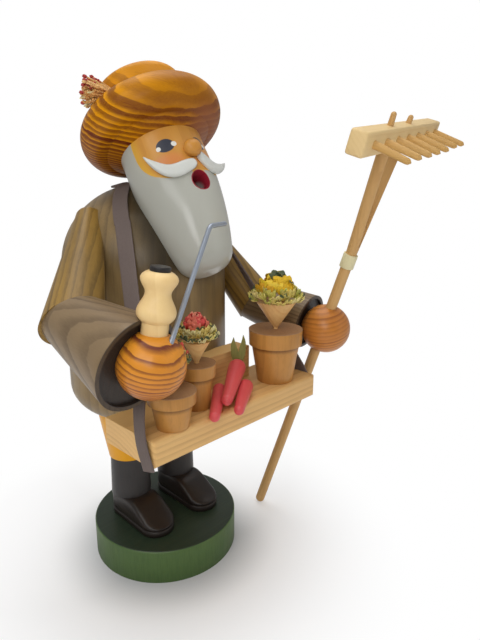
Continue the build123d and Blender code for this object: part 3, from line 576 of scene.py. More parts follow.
# Head: tan face in an oval, painted eyes, red mouth, the rest a gloss grey beard
faceLook = dict(
    oval=dict(wide=75.5, middle=6.0, tall=17.8, power=2.4, edge=(0.985, 1.0), brush=0.02),
    rim=dict(tone=(222, 170, 62), span=(0.78, 1.0)),
    chin=dict(start=9.0, end=32.0, top=-9.4, soft=2.0, line=0.2),
    blush=dict(tone=(224, 130, 82), across=1.0, up=-7.5, wide=8.5, tall=5.0, span=(0.1, 1.1), most=0.5),
    beard=((187, 187, 177), (174, 174, 164)),
    beardCloud=40.0,
    beardRough=0.2,
    faceRough=0.16,
    eye=dict(tone=(60, 63, 74), turn=30.4, up=3.0, wide=3.7, tall=2.8, edge=(0.9, 1.05), leftShift=-9.5),
    dotTone=(238, 238, 232),
    dots=((-3.5, -0.1, 1.15), (3.0, -0.6, 1.0)),  # across, up and size of the two white dots
    dotCore=0.8,
    mouth=dict(at=(-1.95, -33.5, 177.6), way=(-0.056, -0.817, 0.573), radius=4.1, edge=0.2, floor=(-40, -39)),
    mouthTones=((104, 20, 30), (160, 40, 56)),
    mouthShadeDepth=(-14, -0.5),
)


def headPaint(point, color, rough, hair):
    turned, _, height = roundHead(point)
    turn = abs(turned)

    look = faceLook["oval"]
    power = look["power"]
    upright = abs(height - look["middle"]) / look["tall"]
    oval = ((turn / look["wide"]) ** power + upright ** power) ** (1 / power)
    face = (oval + (hair - 0.5) * look["brush"]).under(*look["edge"])
    look = faceLook["chin"]  # the beard's edge is straight beside the mouth
    chin = turn.over(look["start"] - look["soft"], look["start"] + look["soft"])
    chin = chin * turn.under(look["end"] - look["soft"], look["end"] + look["soft"])
    face = face * (1 - chin * height.under(look["top"] - look["line"], look["top"]))
    look = faceLook["rim"]
    warm = mixColor(oval.over(*look["span"]), color, rgb(*look["tone"]))

    eyeLook = faceLook["eye"]
    shifted = turn - eyeLook["turn"] - turned.over(-1, 1) * eyeLook["leftShift"]
    aside = shifted * (math.pi / 180 * headPlace["radius"])  # millimetres from the eye's middle
    above = height - eyeLook["up"]
    look = faceLook["blush"]
    blush = ((aside - look["across"]) / look["wide"]) ** 2 + ((above - look["up"]) / look["tall"]) ** 2
    warm = mixColor(blush.under(*look["span"]) * look["most"], warm, rgb(*look["tone"]))

    beard = mixColor(noise(point, faceLook["beardCloud"]), *(rgb(*tone) for tone in faceLook["beard"]))
    shade = mixColor(face, beard, warm)
    eye = ((aside / eyeLook["wide"]) ** 2 + (above / eyeLook["tall"]) ** 2).under(*eyeLook["edge"])
    shade = mixColor(eye * face, shade, rgb(*eyeLook["tone"]))
    for across, up, size in faceLook["dots"]:
        dot = (aside - across) * (aside - across) + (above - up) * (above - up)
        dot = dot.under(size * size * faceLook["dotCore"], size * size)
        shade = mixColor(dot * face, shade, rgb(*faceLook["dotTone"]))

    look = faceLook["mouth"]
    x, y, depth = inFrame(point, look["at"], (1, 0, 0), look["way"]).parts()
    lips = ((x * x + y * y) ** 0.5).under(look["radius"], look["radius"] + look["edge"])
    lips = lips * depth.over(*look["floor"])
    # the red goes darker deeper in the bore: painted shade
    inside = mixColor(depth.over(*faceLook["mouthShadeDepth"]), *(rgb(*tone) for tone in faceLook["mouthTones"]))
    return mixColor(lips, shade, inside), faceLook["beardRough"] + face * faceLook["faceRough"]


faceGrain = dict(light=(216, 156, 70), dark=(186, 122, 52), shade=(202, 138, 60), rough=0.38, coat=0.15)
faceRun = dict(fibre=headUp, layer=(-0.6, -0.8, 0.3), centre=headOrigin, ring=2.0, contrast=0.5)
dress(turnedWood("headPaint", headPaint, **faceGrain, **faceRun, bump=0.003), "head")
noseLook = {**faceGrain, **faceRun, "light": (206, 144, 62), "contrast": 0.6, "ring": 1.2}
noseWood = turnedWood("noseWood", **noseLook)
greyBeard = brushed("moustachePaint", (214, 216, 210), (192, 195, 190), rough=0.25, coat=0.2, marks=0.2)
print("head painted")

# Tray and what stands on it
trayGrain = dict(
    light=(230, 186, 120), dark=(168, 116, 64), shade=(208, 160, 100),
    rough=0.48, contrast=0.4, streak=0.5, sharp=(0.2, 0.95),
)
trayRun = dict(fibre=(1, 0, 0), layer=(0, -0.35, 0.94), centre=(0, -42, 85), pith=38, ring=1.9, wobble=2.4)
dress(turnedWood("trayPine", **trayGrain, **trayRun), "tray")
potTops = dict(large=(29.5, -46.0, 113.6), back=(-16.0, -44.3, 108.3), front=(-33.6, -50.6, 103.9))
potBands = dict(large=6.9, back=5.2, front=4.6)
potGrain = dict(
    light=(198, 142, 71), dark=(142, 95, 48), shade=(146, 98, 52), rough=0.4, coat=0.08,
    streak=0.8, blotch=0.6, contrast=0.3, layer=(0.75, -0.6, 0.1), pith=80, ring=3.0,
)
# rimShadow: a painted shadow line just under each pot's band
potLook = dict(
    soil=((148, 110, 76), (176, 134, 94)), soilSpan=(-0.45, -0.15), soilRough=0.2, crumb=1500.0,
    rimShadow=(92, 56, 28), rimShadowStart=(-2.6, -0.3), rimShadowEnd=(-0.2, 0.1), rimShadowMost=0.7,
)


def potPaint(rim, band):
    def soil(point, color, rough, hair):
        _, _, z = point.parts()
        fromRim = z / mm - rim
        fromBand = fromRim + band
        rimShadow = fromBand.over(*potLook["rimShadowStart"]) * fromBand.under(*potLook["rimShadowEnd"])
        rimShadow = rimShadow * potLook["rimShadowMost"]  # painted shadow under the band
        color = mixColor(rimShadow, color, rgb(*potLook["rimShadow"]))
        top = fromRim.over(*potLook["soilSpan"])
        crumbs = mixColor(noise(point, potLook["crumb"], 3.0), *(rgb(*tone) for tone in potLook["soil"]))
        return mixColor(top, color, crumbs), rough + top * potLook["soilRough"]

    return soil


for name, top in potTops.items():
    paint = potPaint(top[2], potBands[name])
    dress(turnedWood(name + "PotWood", paint, **potGrain, centre=top), name + "_pot")
coneGrain = dict(light=(230, 188, 126), dark=(206, 148, 84), shade=(218, 154, 78), ring=1.5, contrast=0.5)
dress(turnedWood("coneWood", **coneGrain), *(name + "_flower_cone" for name in potTops))
radishBrush = dict(way=(-0.75, -0.55, -0.1), rough=0.36, coat=0.2)
radishPaint = brushed("radishPaint", (214, 82, 84), (198, 62, 70), **radishBrush)
dress(radishPaint, "left_radish", "right_radish", "top_radish")
pipeGrain = dict(
    light=(240, 208, 148), dark=(206, 158, 96), shade=(218, 174, 112),
    rough=0.36, contrast=0.35, blotch=0.7, streak=0.25, sharp=(0.1, 0.9),
)
pipeRun = dict(centre=(-46, -61, 140), layer=(0.7, -0.7, 0), pith=120, ring=6.0, wobble=7.0)
dress(turnedWood("pipeBirch", **pipeGrain, **pipeRun), "pipe_bowl")
dress(brushed("lidPaint", (34, 31, 30), (52, 48, 46), rough=0.4), "pipe_lid")
stemBrush = dict(way=(0.6, 0.2, 0.78), rough=0.34, metal=0.6)
dress(brushed("stemWire", (158, 166, 178), (110, 118, 130), **stemBrush), "pipe_stem")

# The rake's stick and its band
rakeUp = Vector((0.004288, -0.331875, 0.943314))
rakeGrain = dict(
    light=(232, 202, 146), dark=(204, 166, 108), shade=(216, 182, 124), rough=0.5, contrast=0.3, coat=0.03,
)
handleTone = {**rakeGrain, "light": (206, 162, 102), "dark": (168, 120, 68)}
handleRun = dict(fibre=rakeUp, centre=(55, -40, 100), pith=9, ring=1.0)
dress(turnedWood("handleWood", **handleTone, **handleRun), "rake_handle")
bandBrush = dict(way=(1, 0, 0), rough=0.5, coat=0.05)
dress(brushed("creamBand", (226, 216, 172), (198, 188, 142), **bandBrush), "rake_ferrule")

# Turned and sawn edges are sanded a little round
softEdges = dict(
    base=0.5, tray=0.5, coat=0.8, right_sleeve=0.4, left_sleeve=0.4, right_boot_leg=0.3, left_boot_leg=0.3,
    large_pot=0.4, back_pot=0.3, front_pot=0.3, pipe_lid=0.3, rake_ferrule=0.2,
)
edgeAngle = math.radians(40)
edgeSteps = 3
weldReach = 0.002 * mm
for name, width in softEdges.items():
    weld = nodes[name].modifiers.new("weld", "WELD")
    weld.merge_threshold = weldReach
    bevel = nodes[name].modifiers.new("sanded", "BEVEL")
    bevel.width = width * mm
    bevel.segments = edgeSteps
    bevel.limit_method = "ANGLE"
    bevel.angle_limit = edgeAngle
    bevel.use_clamp_overlap = True
    bevel.harden_normals = True

# Hidden inside
plainBeech = turnedWood("plainBeech", light=(214, 176, 128), dark=(180, 138, 92), ring=1.8)
dress(plainBeech, "hip", "leg_dowels", "arm_dowels", "tray_dowel")
sheetBrass = brushed("sheetBrass", (196, 160, 84), (160, 126, 60), way=(1, 0, 0), rough=0.35)
dress(sheetBrass, "incense_plate", "plate_tack")
print("tray, pots, pipe and rake finished")


# Mesh helpers: points in millimetres, meshes in metres
def closeMesh(mesh):
    work = bmesh.new()
    work.from_mesh(mesh)
    bmesh.ops.remove_doubles(work, verts=work.verts, dist=1e-6)
    bmesh.ops.dissolve_degenerate(work, edges=work.edges, dist=1e-7)
    bmesh.ops.recalc_face_normals(work, faces=work.faces)
    work.to_mesh(mesh)
    work.free()


def loft(name, rings):  # closed skin over rings of equal length, with both ends capped
    count = len(rings[0])
    points = [Vector(point) * mm for ring in rings for point in ring]
    faces = [tuple(reversed(range(count))), tuple(range(len(points) - count, len(points)))]
    for row in range(len(rings) - 1):
        for k in range(count):
            a, b = row * count + k, row * count + (k + 1) % count
            faces.append((a, b, b + count, a + count))
    mesh = bpy.data.meshes.new(name)
    mesh.from_pydata(points, [], faces)
    closeMesh(mesh)
    return mesh


def smoothPath(points, steps):  # a smooth line through the points, which are lists of numbers
    path = []
    for i in range(len(points) - 1):
        four = [points[max(i - 1, 0)], points[i], points[i + 1], points[min(i + 2, len(points) - 1)]]
        for k in range(steps):
            t = k / steps
            path.append([
                b + 0.5 * ((c - a) * t + (2 * a - 5 * b + 4 * c - d) * t * t + (3 * b - a - 3 * c + d) * t**3)
                for a, b, c, d in zip(*four)
            ])
    path.append(list(points[-1]))
    return path


def runAt(path, i):  # the way that a path goes at its point i
    return Vector(path[min(i + 1, len(path) - 1)][:3]) - Vector(path[max(i - 1, 0)][:3])


def roundedRing(centre, wide, tall, halfWide, halfTall, power, count):  # a superellipse
    ring = []
    for k in range(count):
        turn = 2 * math.pi * k / count
        c, s = math.cos(turn), math.sin(turn)
        u = math.copysign(abs(c) ** (2 / power), c) * halfWide
        v = math.copysign(abs(s) ** (2 / power), s) * halfTall
        ring.append(centre + wide * u + tall * v)
    return ring


def joinMeshes(name, meshes):
    work = bmesh.new()
    for mesh in meshes:
        work.from_mesh(mesh)
    joined = bpy.data.meshes.new(name)
    work.to_mesh(joined)
    work.free()
    return joined


def addPiece(name, mesh, finish, body, slot, *replaced, sharp=40.0):
    piece = bpy.data.objects.new(name, mesh)
    scene.collection.objects.link(piece)
    mesh.materials.clear()
    mesh.materials.append(finish)
    mesh.shade_smooth()
    mesh.set_sharp_from_angle(angle=math.radians(sharp))
    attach(piece, body)
    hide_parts(*replaced)
    return piece


# Geometry Nodes helpers: trees are written with the same wires
goldenTurn = 2.399963


def startTree(name, inputs):
    group = bpy.data.node_groups.new(name, "GeometryNodeTree")
    group.interface.new_socket(name="Geometry", in_out="OUTPUT", socket_type="NodeSocketGeometry")
    for label, kind in inputs.items():
        group.interface.new_socket(name=label, in_out="INPUT", socket_type="NodeSocket" + kind)
    source = Wire(group).add("NodeGroupInput")
    return group, source, {label: source.other(label) for label in inputs}


def endTree(tree, geometry, finish):
    real = tree.add("GeometryNodeRealizeInstances", None, {0: geometry})
    painted = tree.add("GeometryNodeSetMaterial", None, {"Geometry": real, "Material": finish})
    tree.add("NodeGroupOutput", None, {0: painted})


def joinShapes(tree, *shapes):
    joined = tree.add("GeometryNodeJoinGeometry")
    for shape in shapes:
        tree.tree.links.new(shape.socket, joined.socket.node.inputs[0])
    return joined


def storeValue(tree, geometry, name, value, domain="POINT"):
    settings = {"data_type": "FLOAT", "domain": domain}
    return tree.add("GeometryNodeStoreNamedAttribute", settings, {0: geometry, 2: name, 3: value})


def chance(tree, low, high, seed, extra=0):
    index = tree.add("GeometryNodeInputIndex")
    sockets = {2: low, 3: high, 7: index, 8: seed + extra}
    return tree.add("FunctionNodeRandomValue", {"data_type": "FLOAT"}, sockets, out=1)


def stray(tree, most, seed, extra=0):
    return chance(tree, -most, most, seed, extra)


def turnedBy(tree, x, y, z):
    return tree.add("FunctionNodeEulerToRotation", None, {0: joinXyz(x, y, z)})


def setOut(tree, spots, shape, facing, size=1.0):  # one copy of shape at each spot
    scale = joinXyz(size, size, size) if isinstance(size, Wire) else (size, size, size)
    sockets = {"Points": spots, "Instance": shape, "Rotation": facing, "Scale": scale}
    return tree.add("GeometryNodeInstanceOnPoints", None, sockets)


def growMesh(name, group, values, place):  # the tree's result as a plain mesh, set at place
    grower = bpy.data.objects.new(name, bpy.data.meshes.new(name))
    scene.collection.objects.link(grower)
    modifier = grower.modifiers.new("grow", "NODES")
    modifier.node_group = group
    for item in group.interface.items_tree:
        if item.in_out == "INPUT":
            modifier[item.identifier] = values[item.name]
    grown = bpy.data.meshes.new_from_object(grower.evaluated_get(bpy.context.evaluated_depsgraph_get()))
    grown.name = name
    bpy.data.objects.remove(grower)
    grown.transform(place)
    return grown


def standing(origin, up):  # a frame at origin, millimetres, with its Z along up
    upright = Vector(up).normalized().to_track_quat("Z", "Y").to_matrix().to_4x4()
    return Matrix.Translation(Vector(origin) * mm) @ upright


def attribute(tree, name):
    return tree.add("ShaderNodeAttribute", {"attribute_name": name}, out=2)


# Curled shavings, set round an axis: the flowers' frills and blooms
shavingInputs = dict(
    Count="Int", Core="Float", Spread="Float", Rise="Float", Length="Float", Width="Float", Curl="Float",
    TiltIn="Float", TiltOut="Float", Ruffle="Float", Thick="Float", Seed="Int", Finish="Material",
)
petalShape = dict(
    columns=5, rows=6, waveAcross=9.0, waveAlong=5.0, bellyAt=0.8, bellyFall=1.15,
    turnStray=0.25, tiltStray=0.22, rollStray=0.35, sizes=(0.78, 1.18), merge=1e-6,
)
shavingTree, tree, given = startTree("curledShavings", shavingInputs)
seed = given["Seed"]
gridSizes = {0: 1.0, 1: 1.0, 2: petalShape["columns"], 3: petalShape["rows"]}
sheetGrid = tree.add("GeometryNodeMeshGrid", None, gridSizes)
across, length, _ = tree.add("GeometryNodeInputPosition").parts()
along = length + 0.5
sheet = storeValue(tree, sheetGrid, "along", along)
bend = along * given["Curl"]
reach = given["Length"] / given["Curl"]
wave = (across * petalShape["waveAcross"] + along * petalShape["waveAlong"]).sine() * given["Ruffle"] * along
belly = along - petalShape["bellyAt"]
wide = across * given["Width"] * (1 - belly * belly * petalShape["bellyFall"])
shaped = joinXyz(wide, reach * bend.sine(), reach * (1 - bend.cosine()) + wave)
sheet = tree.add("GeometryNodeSetPosition", None, {"Geometry": sheet, "Position": shaped})
extrusion = {"Mesh": sheet, "Offset Scale": given["Thick"], "Individual": False}
upper = tree.add("GeometryNodeExtrudeMesh", {"mode": "FACES"}, extrusion)
lower = tree.add("GeometryNodeFlipFaces", None, {0: sheet})
bothSides = {"Geometry": joinShapes(tree, upper, lower), "Distance": petalShape["merge"]}
petal = tree.add("GeometryNodeMergeByDistance", None, bothSides)
index = tree.add("GeometryNodeInputIndex")
share = (index + 0.5) / given["Count"]
ring = given["Spread"] * (given["Core"] + (1 - given["Core"]) * share) ** 0.5
turn = index * goldenTurn + stray(tree, petalShape["turnStray"], seed)
spot = joinXyz(ring * turn.cosine(), ring * turn.sine(), given["Rise"] * (1 - share))
spots = tree.add("GeometryNodePoints", None, {"Count": given["Count"], "Position": spot})
tilt = given["TiltIn"] + (given["TiltOut"] - given["TiltIn"]) * share
tilt = tilt + stray(tree, petalShape["tiltStray"], seed, 1)
facing = turnedBy(tree, tilt, stray(tree, petalShape["rollStray"], seed, 2), turn - math.pi / 2)
petals = setOut(tree, spots, petal, facing, chance(tree, *petalShape["sizes"], seed, 3))
petals = storeValue(tree, petals, "tone", chance(tree, 0.0, 1.0, seed, 4), "INSTANCE")
petals = storeValue(tree, petals, "rank", share, "INSTANCE")
endTree(tree, petals, given["Finish"])

# Thin stained wood: some shavings have dipped tips, and those up to the rank of crown have them all
shavingLook = dict(
    fine=1800.0, coarse=420.0, ragged=0.5, tipSoft=0.12, draw=7.31, drawSoft=0.02, crownSoft=(0.05, 0.01),
    fibreFrom=0.35, fibreMost=0.9, fibreDark=0.6, rough=0.6, fineRough=0.3, bump=0.08, coat=0.03,
)


def shaving(name, tones, tip, dip, tipStart=0.7, crown=0.0, crownFrom=(0.2, 0.5)):
    look = shavingLook
    finish, tree, point = startFinish(name)
    tone = attribute(tree, "tone")
    along = attribute(tree, "along")
    fine = noise(point, look["fine"])
    coarse = noise(point, look["coarse"])
    stops = [(k / len(tones), rgb(*color)) for k, color in enumerate(tones)]
    color = tree.add("ShaderNodeValToRGB", {"stops": stops, "ramp": "CONSTANT"}, {0: tone})
    draw = tone * look["draw"]
    draw = draw.math("FRACT", draw).under(dip - look["drawSoft"], dip + look["drawSoft"])
    dipped = (along + (coarse - 0.5) * look["ragged"]).over(tipStart, tipStart + look["tipSoft"]) * draw
    crownLow, crownHigh = look["crownSoft"]
    top = attribute(tree, "rank").under(crown - crownLow, crown + crownHigh) * along.over(*crownFrom)
    color = mixColor(dipped.larger(top), color, rgb(*tip))
    fibre = (fine - look["fibreFrom"]) * look["fibreMost"]
    color = mixColor(fibre, color, rgb(*[value * look["fibreDark"] for value in tones[0]]))
    rough = look["rough"] + (fine - 0.5) * look["fineRough"]
    endFinish(tree, color, rough, fine, look["bump"], {"Coat Weight": look["coat"]})
    return finish


# Each flower stands over its pot; lift is above the cone's mouth
flowers = dict(
    large=dict(
        lean=(0, 0, 1), rise=12.5, seed=16,
        frill=dict(
            lift=0.2, dip=0.28, tip=(50, 76, 46), crown=0.0,
            tones=((226, 206, 112), (214, 206, 104), (232, 216, 140), (196, 196, 92)),
            sizes=dict(Spread=9.2, Rise=3.2, Length=4.4, Width=3.2, Ruffle=0.7),
            counts=dict(Count=84, Core=0.45, Curl=1.0, TiltIn=0.6, TiltOut=-0.1),
        ),
        bloom=dict(
            lift=3.2, dip=0.22, tip=(40, 68, 42), crown=0.2,
            tones=((232, 188, 30), (240, 206, 48), (224, 168, 34), (234, 196, 40)),
            sizes=dict(Spread=6.2, Rise=6.0, Length=5.0, Width=7.0, Ruffle=0.3),
            counts=dict(Count=40, Core=0.0, Curl=1.9, TiltIn=1.0, TiltOut=0.3),
        ),
    ),
    back=dict(
        lean=(0, 0, 1), rise=9.0, seed=23,
        frill=dict(
            lift=0.5, dip=0.4, tip=(50, 78, 52), crown=0.0,
            tones=((234, 214, 130), (224, 198, 108), (238, 226, 164), (214, 200, 110)),
            sizes=dict(Spread=5.9, Rise=3.6, Length=3.4, Width=2.8, Ruffle=0.7),
            counts=dict(Count=70, Core=0.35, Curl=0.9, TiltIn=0.4, TiltOut=-0.15),
        ),
        bloom=dict(
            lift=4.6, dip=0.3, tip=(232, 150, 120), crown=0.0,
            tones=((224, 92, 80), (216, 72, 68), (232, 122, 98), (222, 84, 76)),
            sizes=dict(Spread=3.6, Rise=3.6, Length=3.0, Width=3.4, Ruffle=0.5),
            counts=dict(Count=30, Core=0.0, Curl=1.6, TiltIn=0.8, TiltOut=0.2),
        ),
    ),
    front=dict(
        lean=(0.42, 0.2, 1), rise=9.5, seed=30,
        frill=dict(
            lift=0.4, dip=0.5, tip=(60, 84, 56), crown=0.0,
            tones=((220, 194, 108), (204, 174, 88), (166, 160, 84), (224, 204, 132)),
            sizes=dict(Spread=3.6, Rise=2.4, Length=2.5, Width=2.2, Ruffle=0.5),
            counts=dict(Count=44, Core=0.3, Curl=0.9, TiltIn=0.5, TiltOut=0.0),
        ),
        bloom=dict(
            lift=2.6, dip=0.3, tip=(226, 190, 100), crown=0.0,
            tones=((220, 84, 64), (226, 120, 74), (206, 66, 66), (216, 88, 70)),
            sizes=dict(Spread=2.6, Rise=3.0, Length=2.3, Width=2.6, Ruffle=0.4),
            counts=dict(Count=22, Core=0.0, Curl=1.6, TiltIn=0.8, TiltOut=0.1),
        ),
    ),
)
petalThick = 0.25 * mm
for name, flower in flowers.items():
    up = Vector(flower["lean"]).normalized()
    for part in ("frill", "bloom"):
        look = flower[part]
        finishName = name + part.title() + "Shaving"
        finish = shaving(finishName, look["tones"], look["tip"], look["dip"], crown=look["crown"])
        values = {key: size * mm for key, size in look["sizes"].items()}
        values.update(look["counts"], Thick=petalThick, Seed=flower["seed"], Finish=finish)
        place = standing(Vector(potTops[name]) + up * (flower["rise"] + look["lift"]), up)
        mesh = growMesh(name + "_" + part + "_shavings", shavingTree, values, place)
        addPiece(mesh.name, mesh, finish, "figure", "petal_shaving", "%s_flower_%s" % (name, part), sharp=60)
print("flowers grown")

# Posy: dried stalks with beads at their tips, stuck in the brim
posyInputs = dict(
    Count="Int", Length="Float", Stalk="Float", Bead="Float", Fan="Float", Seed="Int", Finish="Material",
)
stalkShape = dict(
    sides=6, taper=0.7, beadLevel=2, bumpScale=1900.0, bumpHigh=0.0007, fanStray=0.12, rootSpread=0.003,
    sizes=(0.4, 1.05), redFrom=(0.35, 0.45),
)
posyTree, tree, given = startTree("driedStalks", posyInputs)
seed = given["Seed"]
stalkSizes = {
    "Vertices": stalkShape["sides"],
    "Radius Top": given["Stalk"] * stalkShape["taper"],
    "Radius Bottom": given["Stalk"],
    "Depth": given["Length"],
}
stalk = tree.add("GeometryNodeMeshCone", None, stalkSizes)
beadSizes = {"Radius": given["Bead"], "Subdivisions": stalkShape["beadLevel"]}
bead = tree.add("GeometryNodeMeshIcoSphere", None, beadSizes)
tipPlace = {"Geometry": bead, "Translation": joinXyz(0, 0, given["Length"])}
bead = tree.add("GeometryNodeTransform", None, tipPlace)
stalk = joinShapes(tree, stalk, bead)
spot = tree.add("GeometryNodeInputPosition")
bumps = tree.add("ShaderNodeTexNoise", None, {"Vector": spot, "Scale": stalkShape["bumpScale"]}, out=1)
shift = tree.add("ShaderNodeVectorMath", {"operation": "SUBTRACT"}, {0: bumps, 1: (0.5, 0.5, 0.5)})
shift = tree.add("ShaderNodeVectorMath", {"operation": "SCALE"}, {0: shift, "Scale": stalkShape["bumpHigh"]})
stalk = tree.add("GeometryNodeSetPosition", None, {"Geometry": stalk, "Offset": shift})
_, _, z = tree.add("GeometryNodeInputPosition").parts()
stalk = storeValue(tree, stalk, "along", z / given["Length"])
index = tree.add("GeometryNodeInputIndex")
share = (index + 0.5) / given["Count"]
turn = index * goldenTurn
polar = given["Fan"] * share ** 0.5 + stray(tree, stalkShape["fanStray"], seed)
root = share * stalkShape["rootSpread"]
roots = joinXyz(turn.cosine() * root, turn.sine() * root, 0)
spots = tree.add("GeometryNodePoints", None, {"Count": given["Count"], "Position": roots})
facing = turnedBy(tree, 0, polar, turn)
stalks = setOut(tree, spots, stalk, facing, chance(tree, *stalkShape["sizes"], seed, 2))
stalks = storeValue(tree, stalks, "tone", chance(tree, 0.0, 1.0, seed, 3), "INSTANCE")
upperStalks = turn.sine().under(*stalkShape["redFrom"])  # these end red
stalks = storeValue(tree, stalks, "rank", upperStalks, "INSTANCE")
endTree(tree, stalks, given["Finish"])

posyShape = dict(
    turn=190, up=29.6, out=22.4, lie=(-0.72, 0.6, 0.2), rootUp=2.6, rootShift=(2.6, -2.4, -0.3), flat=0.76,
    count=190, length=10.6, stalk=0.8, bead=0.9, fan=0.46, seed=5,
    tones=((230, 180, 108), (238, 194, 128), (216, 160, 90), (228, 172, 100)),
    tip=(178, 38, 44), dip=0.12, tipStart=0.9, crown=0.5, crownFrom=(0.88, 0.94),
)
posyTurn = math.radians(posyShape["turn"])
posyOut = Vector((1, 0, 0)) * math.cos(posyTurn) - headAhead * math.sin(posyTurn)
posyFoot = headOrigin + headUp * posyShape["up"] + posyOut * posyShape["out"]
posyLook = {key: posyShape[key] for key in ("tones", "tip", "dip", "tipStart", "crown", "crownFrom")}
posyFinish = shaving("driedFlorets", **posyLook)
posyLie = Vector(posyShape["lie"]).normalized()  # the stalks lie outward and back on the brim
posySizes = dict(
    Count=posyShape["count"], Length=posyShape["length"] * mm, Stalk=posyShape["stalk"] * mm,
    Bead=posyShape["bead"] * mm, Fan=posyShape["fan"], Seed=posyShape["seed"], Finish=posyFinish,
)
posyRoot = posyFoot + headUp * posyShape["rootUp"] + Vector(posyShape["rootShift"])
posyRise = (Vector((0, 0, 1)) - posyLie * posyLie.z).normalized()
posyFlat = Matrix.Scale(posyShape["flat"], 4, posyRise)
posyFlat = Matrix.Translation(posyRoot * mm) @ posyFlat @ Matrix.Translation(posyRoot * -mm)
mesh = growMesh("posy_stalks", posyTree, posySizes, posyFlat @ standing(posyRoot, posyLie))
addPiece("posy_stalks", mesh, posyFinish, "figure", "dried_flowers", "hat_posy", sharp=60)


def blade(name, spine, widths, face, thick, cup, count=10, thin=0.6):  # a leaf: a thin lens along its spine
    path = smoothPath([list(point) + [width] for point, width in zip(spine, widths)], 5)
    rings = []
    for i, (x, y, z, width) in enumerate(path):
        run = runAt(path, i)
        side = run.cross(face).normalized()
        rise = side.cross(run).normalized()
        ring = []
        for k in range(count):
            turn = 2 * math.pi * k / count
            u = math.cos(turn)
            high = math.sin(turn) * thick / 2 * (1 - thin * u * u) + cup * (u * u) * width
            ring.append(Vector((x, y, z)) + side * (u * width) + rise * high)
        rings.append(ring)
    return loft(name, rings)


# Leaves under the posy
posyLeaf = dict(
    blades=((-0.75, 8.2), (-0.2, 9.6), (0.35, 8.8), (0.85, 7.4)),  # swing and reach
    widths=(0.5, 1.2, 1.5, 1.1, 0.15), droop=0.25, sunk=0.5, bow=0.9, bowTurn=0.9, thick=0.5, cup=0.25,
)
posyLeafFinish = brushed("posyLeaf", (240, 234, 182), (212, 206, 146), rough=0.6, coat=0.0, marks=0.5)
leafWay = (posyLie - headUp * posyLeaf["droop"]).normalized()
leafSide = leafWay.cross(headUp).normalized()
leafFoot = posyFoot - headUp * posyLeaf["sunk"]
posyBlades = []
for swing, reach in posyLeaf["blades"]:
    way = leafWay * math.cos(swing) + leafSide * math.sin(swing)
    bows = [posyLeaf["bow"] * math.sin(k * posyLeaf["bowTurn"]) for k in range(5)]
    spine = [leafFoot + way * (reach * k / 4) + headUp * bows[k] for k in range(5)]
    thick, cup = posyLeaf["thick"], posyLeaf["cup"]
    posyBlades.append(blade("posyBlade", spine, posyLeaf["widths"], headUp, thick, cup))
mesh = joinMeshes("posy_leaves", posyBlades)
addPiece("posy_leaves", mesh, posyLeafFinish, "figure", "green_shaving", "hat_posy_leaf")

# Leaves of the radishes
radishLeaf = dict(
    blades=((-1.9, 11.6, 1.35), (2.3, 12.5, 1.3)),  # lean, height and width
    turn=-36.9, foot=(12.6, -39.1, 99.8), sunk=0.5, apart=0.5, ease=0.7, thick=0.8, cup=0.2,
)
leafFinish = brushed("leafShaving", (136, 132, 70), (96, 96, 50), rough=0.55, coat=0.0, marks=0.6)
leafTurn = math.radians(radishLeaf["turn"])
leafAside = Vector((math.cos(leafTurn), math.sin(leafTurn), 0))
leafFace = leafAside.cross(Vector((0, 0, 1)))
leafFoot = Vector(radishLeaf["foot"]) - leafFace * radishLeaf["sunk"]
radishBlades = []
for lean, height, width in radishLeaf["blades"]:
    apart = math.copysign(radishLeaf["apart"], lean)
    asides = [lean * (k / 4) ** radishLeaf["ease"] + apart * (k < 4) for k in range(5)]
    spine = [leafFoot + leafAside * asides[k] + Vector((0, 0, height * k / 4)) for k in range(5)]
    widths = (1.1, width + 0.25, width + 0.2, width * 0.75, 0.1)
    thick, cup = radishLeaf["thick"], radishLeaf["cup"]
    radishBlades.append(blade("radishBlade", spine, widths, leafFace, thick, cup))
mesh = joinMeshes("radish_leaves", radishBlades)
addPiece("radish_leaves", mesh, leafFinish, "figure", "green_shaving", "radish_leaf")
print("posy and leaves made")

# Shoes: the outline of two rounds, drawn up to a low toe and a flat top under the boot
shoeShape = dict(
    heelRadius=7.6, toeRadius=8.2, heelY=12.4, toeY=-10.8, floor=16.3, sole=3.0, weltTall=0.7, weltDeep=0.55,
    tipHeight=5.2, topHeight=12.98, tipY=-19.4, topY=0.5, spread=14.0, upperInset=0.05, upperSteps=16,
    roundToe=2.5, roundHeel=8.5, roundOver=14.0,
)


def shoeOutline(shape, inset):  # spine point, direction and reach of each outline point
    toe, heel = shape["toeY"], shape["heelY"]
    toeReach, heelReach = shape["toeRadius"] - inset, shape["heelRadius"] - inset
    sides = [(toe + (heel - toe) * k / 12, toeReach + (heelReach - toeReach) * k / 12) for k in range(1, 12)]
    toeTurns = [math.pi + math.pi * k / 20 for k in range(21)]
    heelTurns = [math.pi * k / 16 for k in range(17)]
    spots = [(toe, math.cos(turn), math.sin(turn), toeReach) for turn in toeTurns]
    spots += [(y, 1.0, 0.0, reach) for y, reach in sides]
    spots += [(heel, math.cos(turn), math.sin(turn), heelReach) for turn in heelTurns]
    spots += [(y, -1.0, 0.0, reach) for y, reach in reversed(sides)]
    return spots


def shoeHeight(shape, y):
    part = min(max((y - shape["tipY"]) / (shape["topY"] - shape["tipY"]), 0), 1)
    return shape["tipHeight"] + (shape["topHeight"] - shape["tipHeight"]) * part * part * (3 - 2 * part)


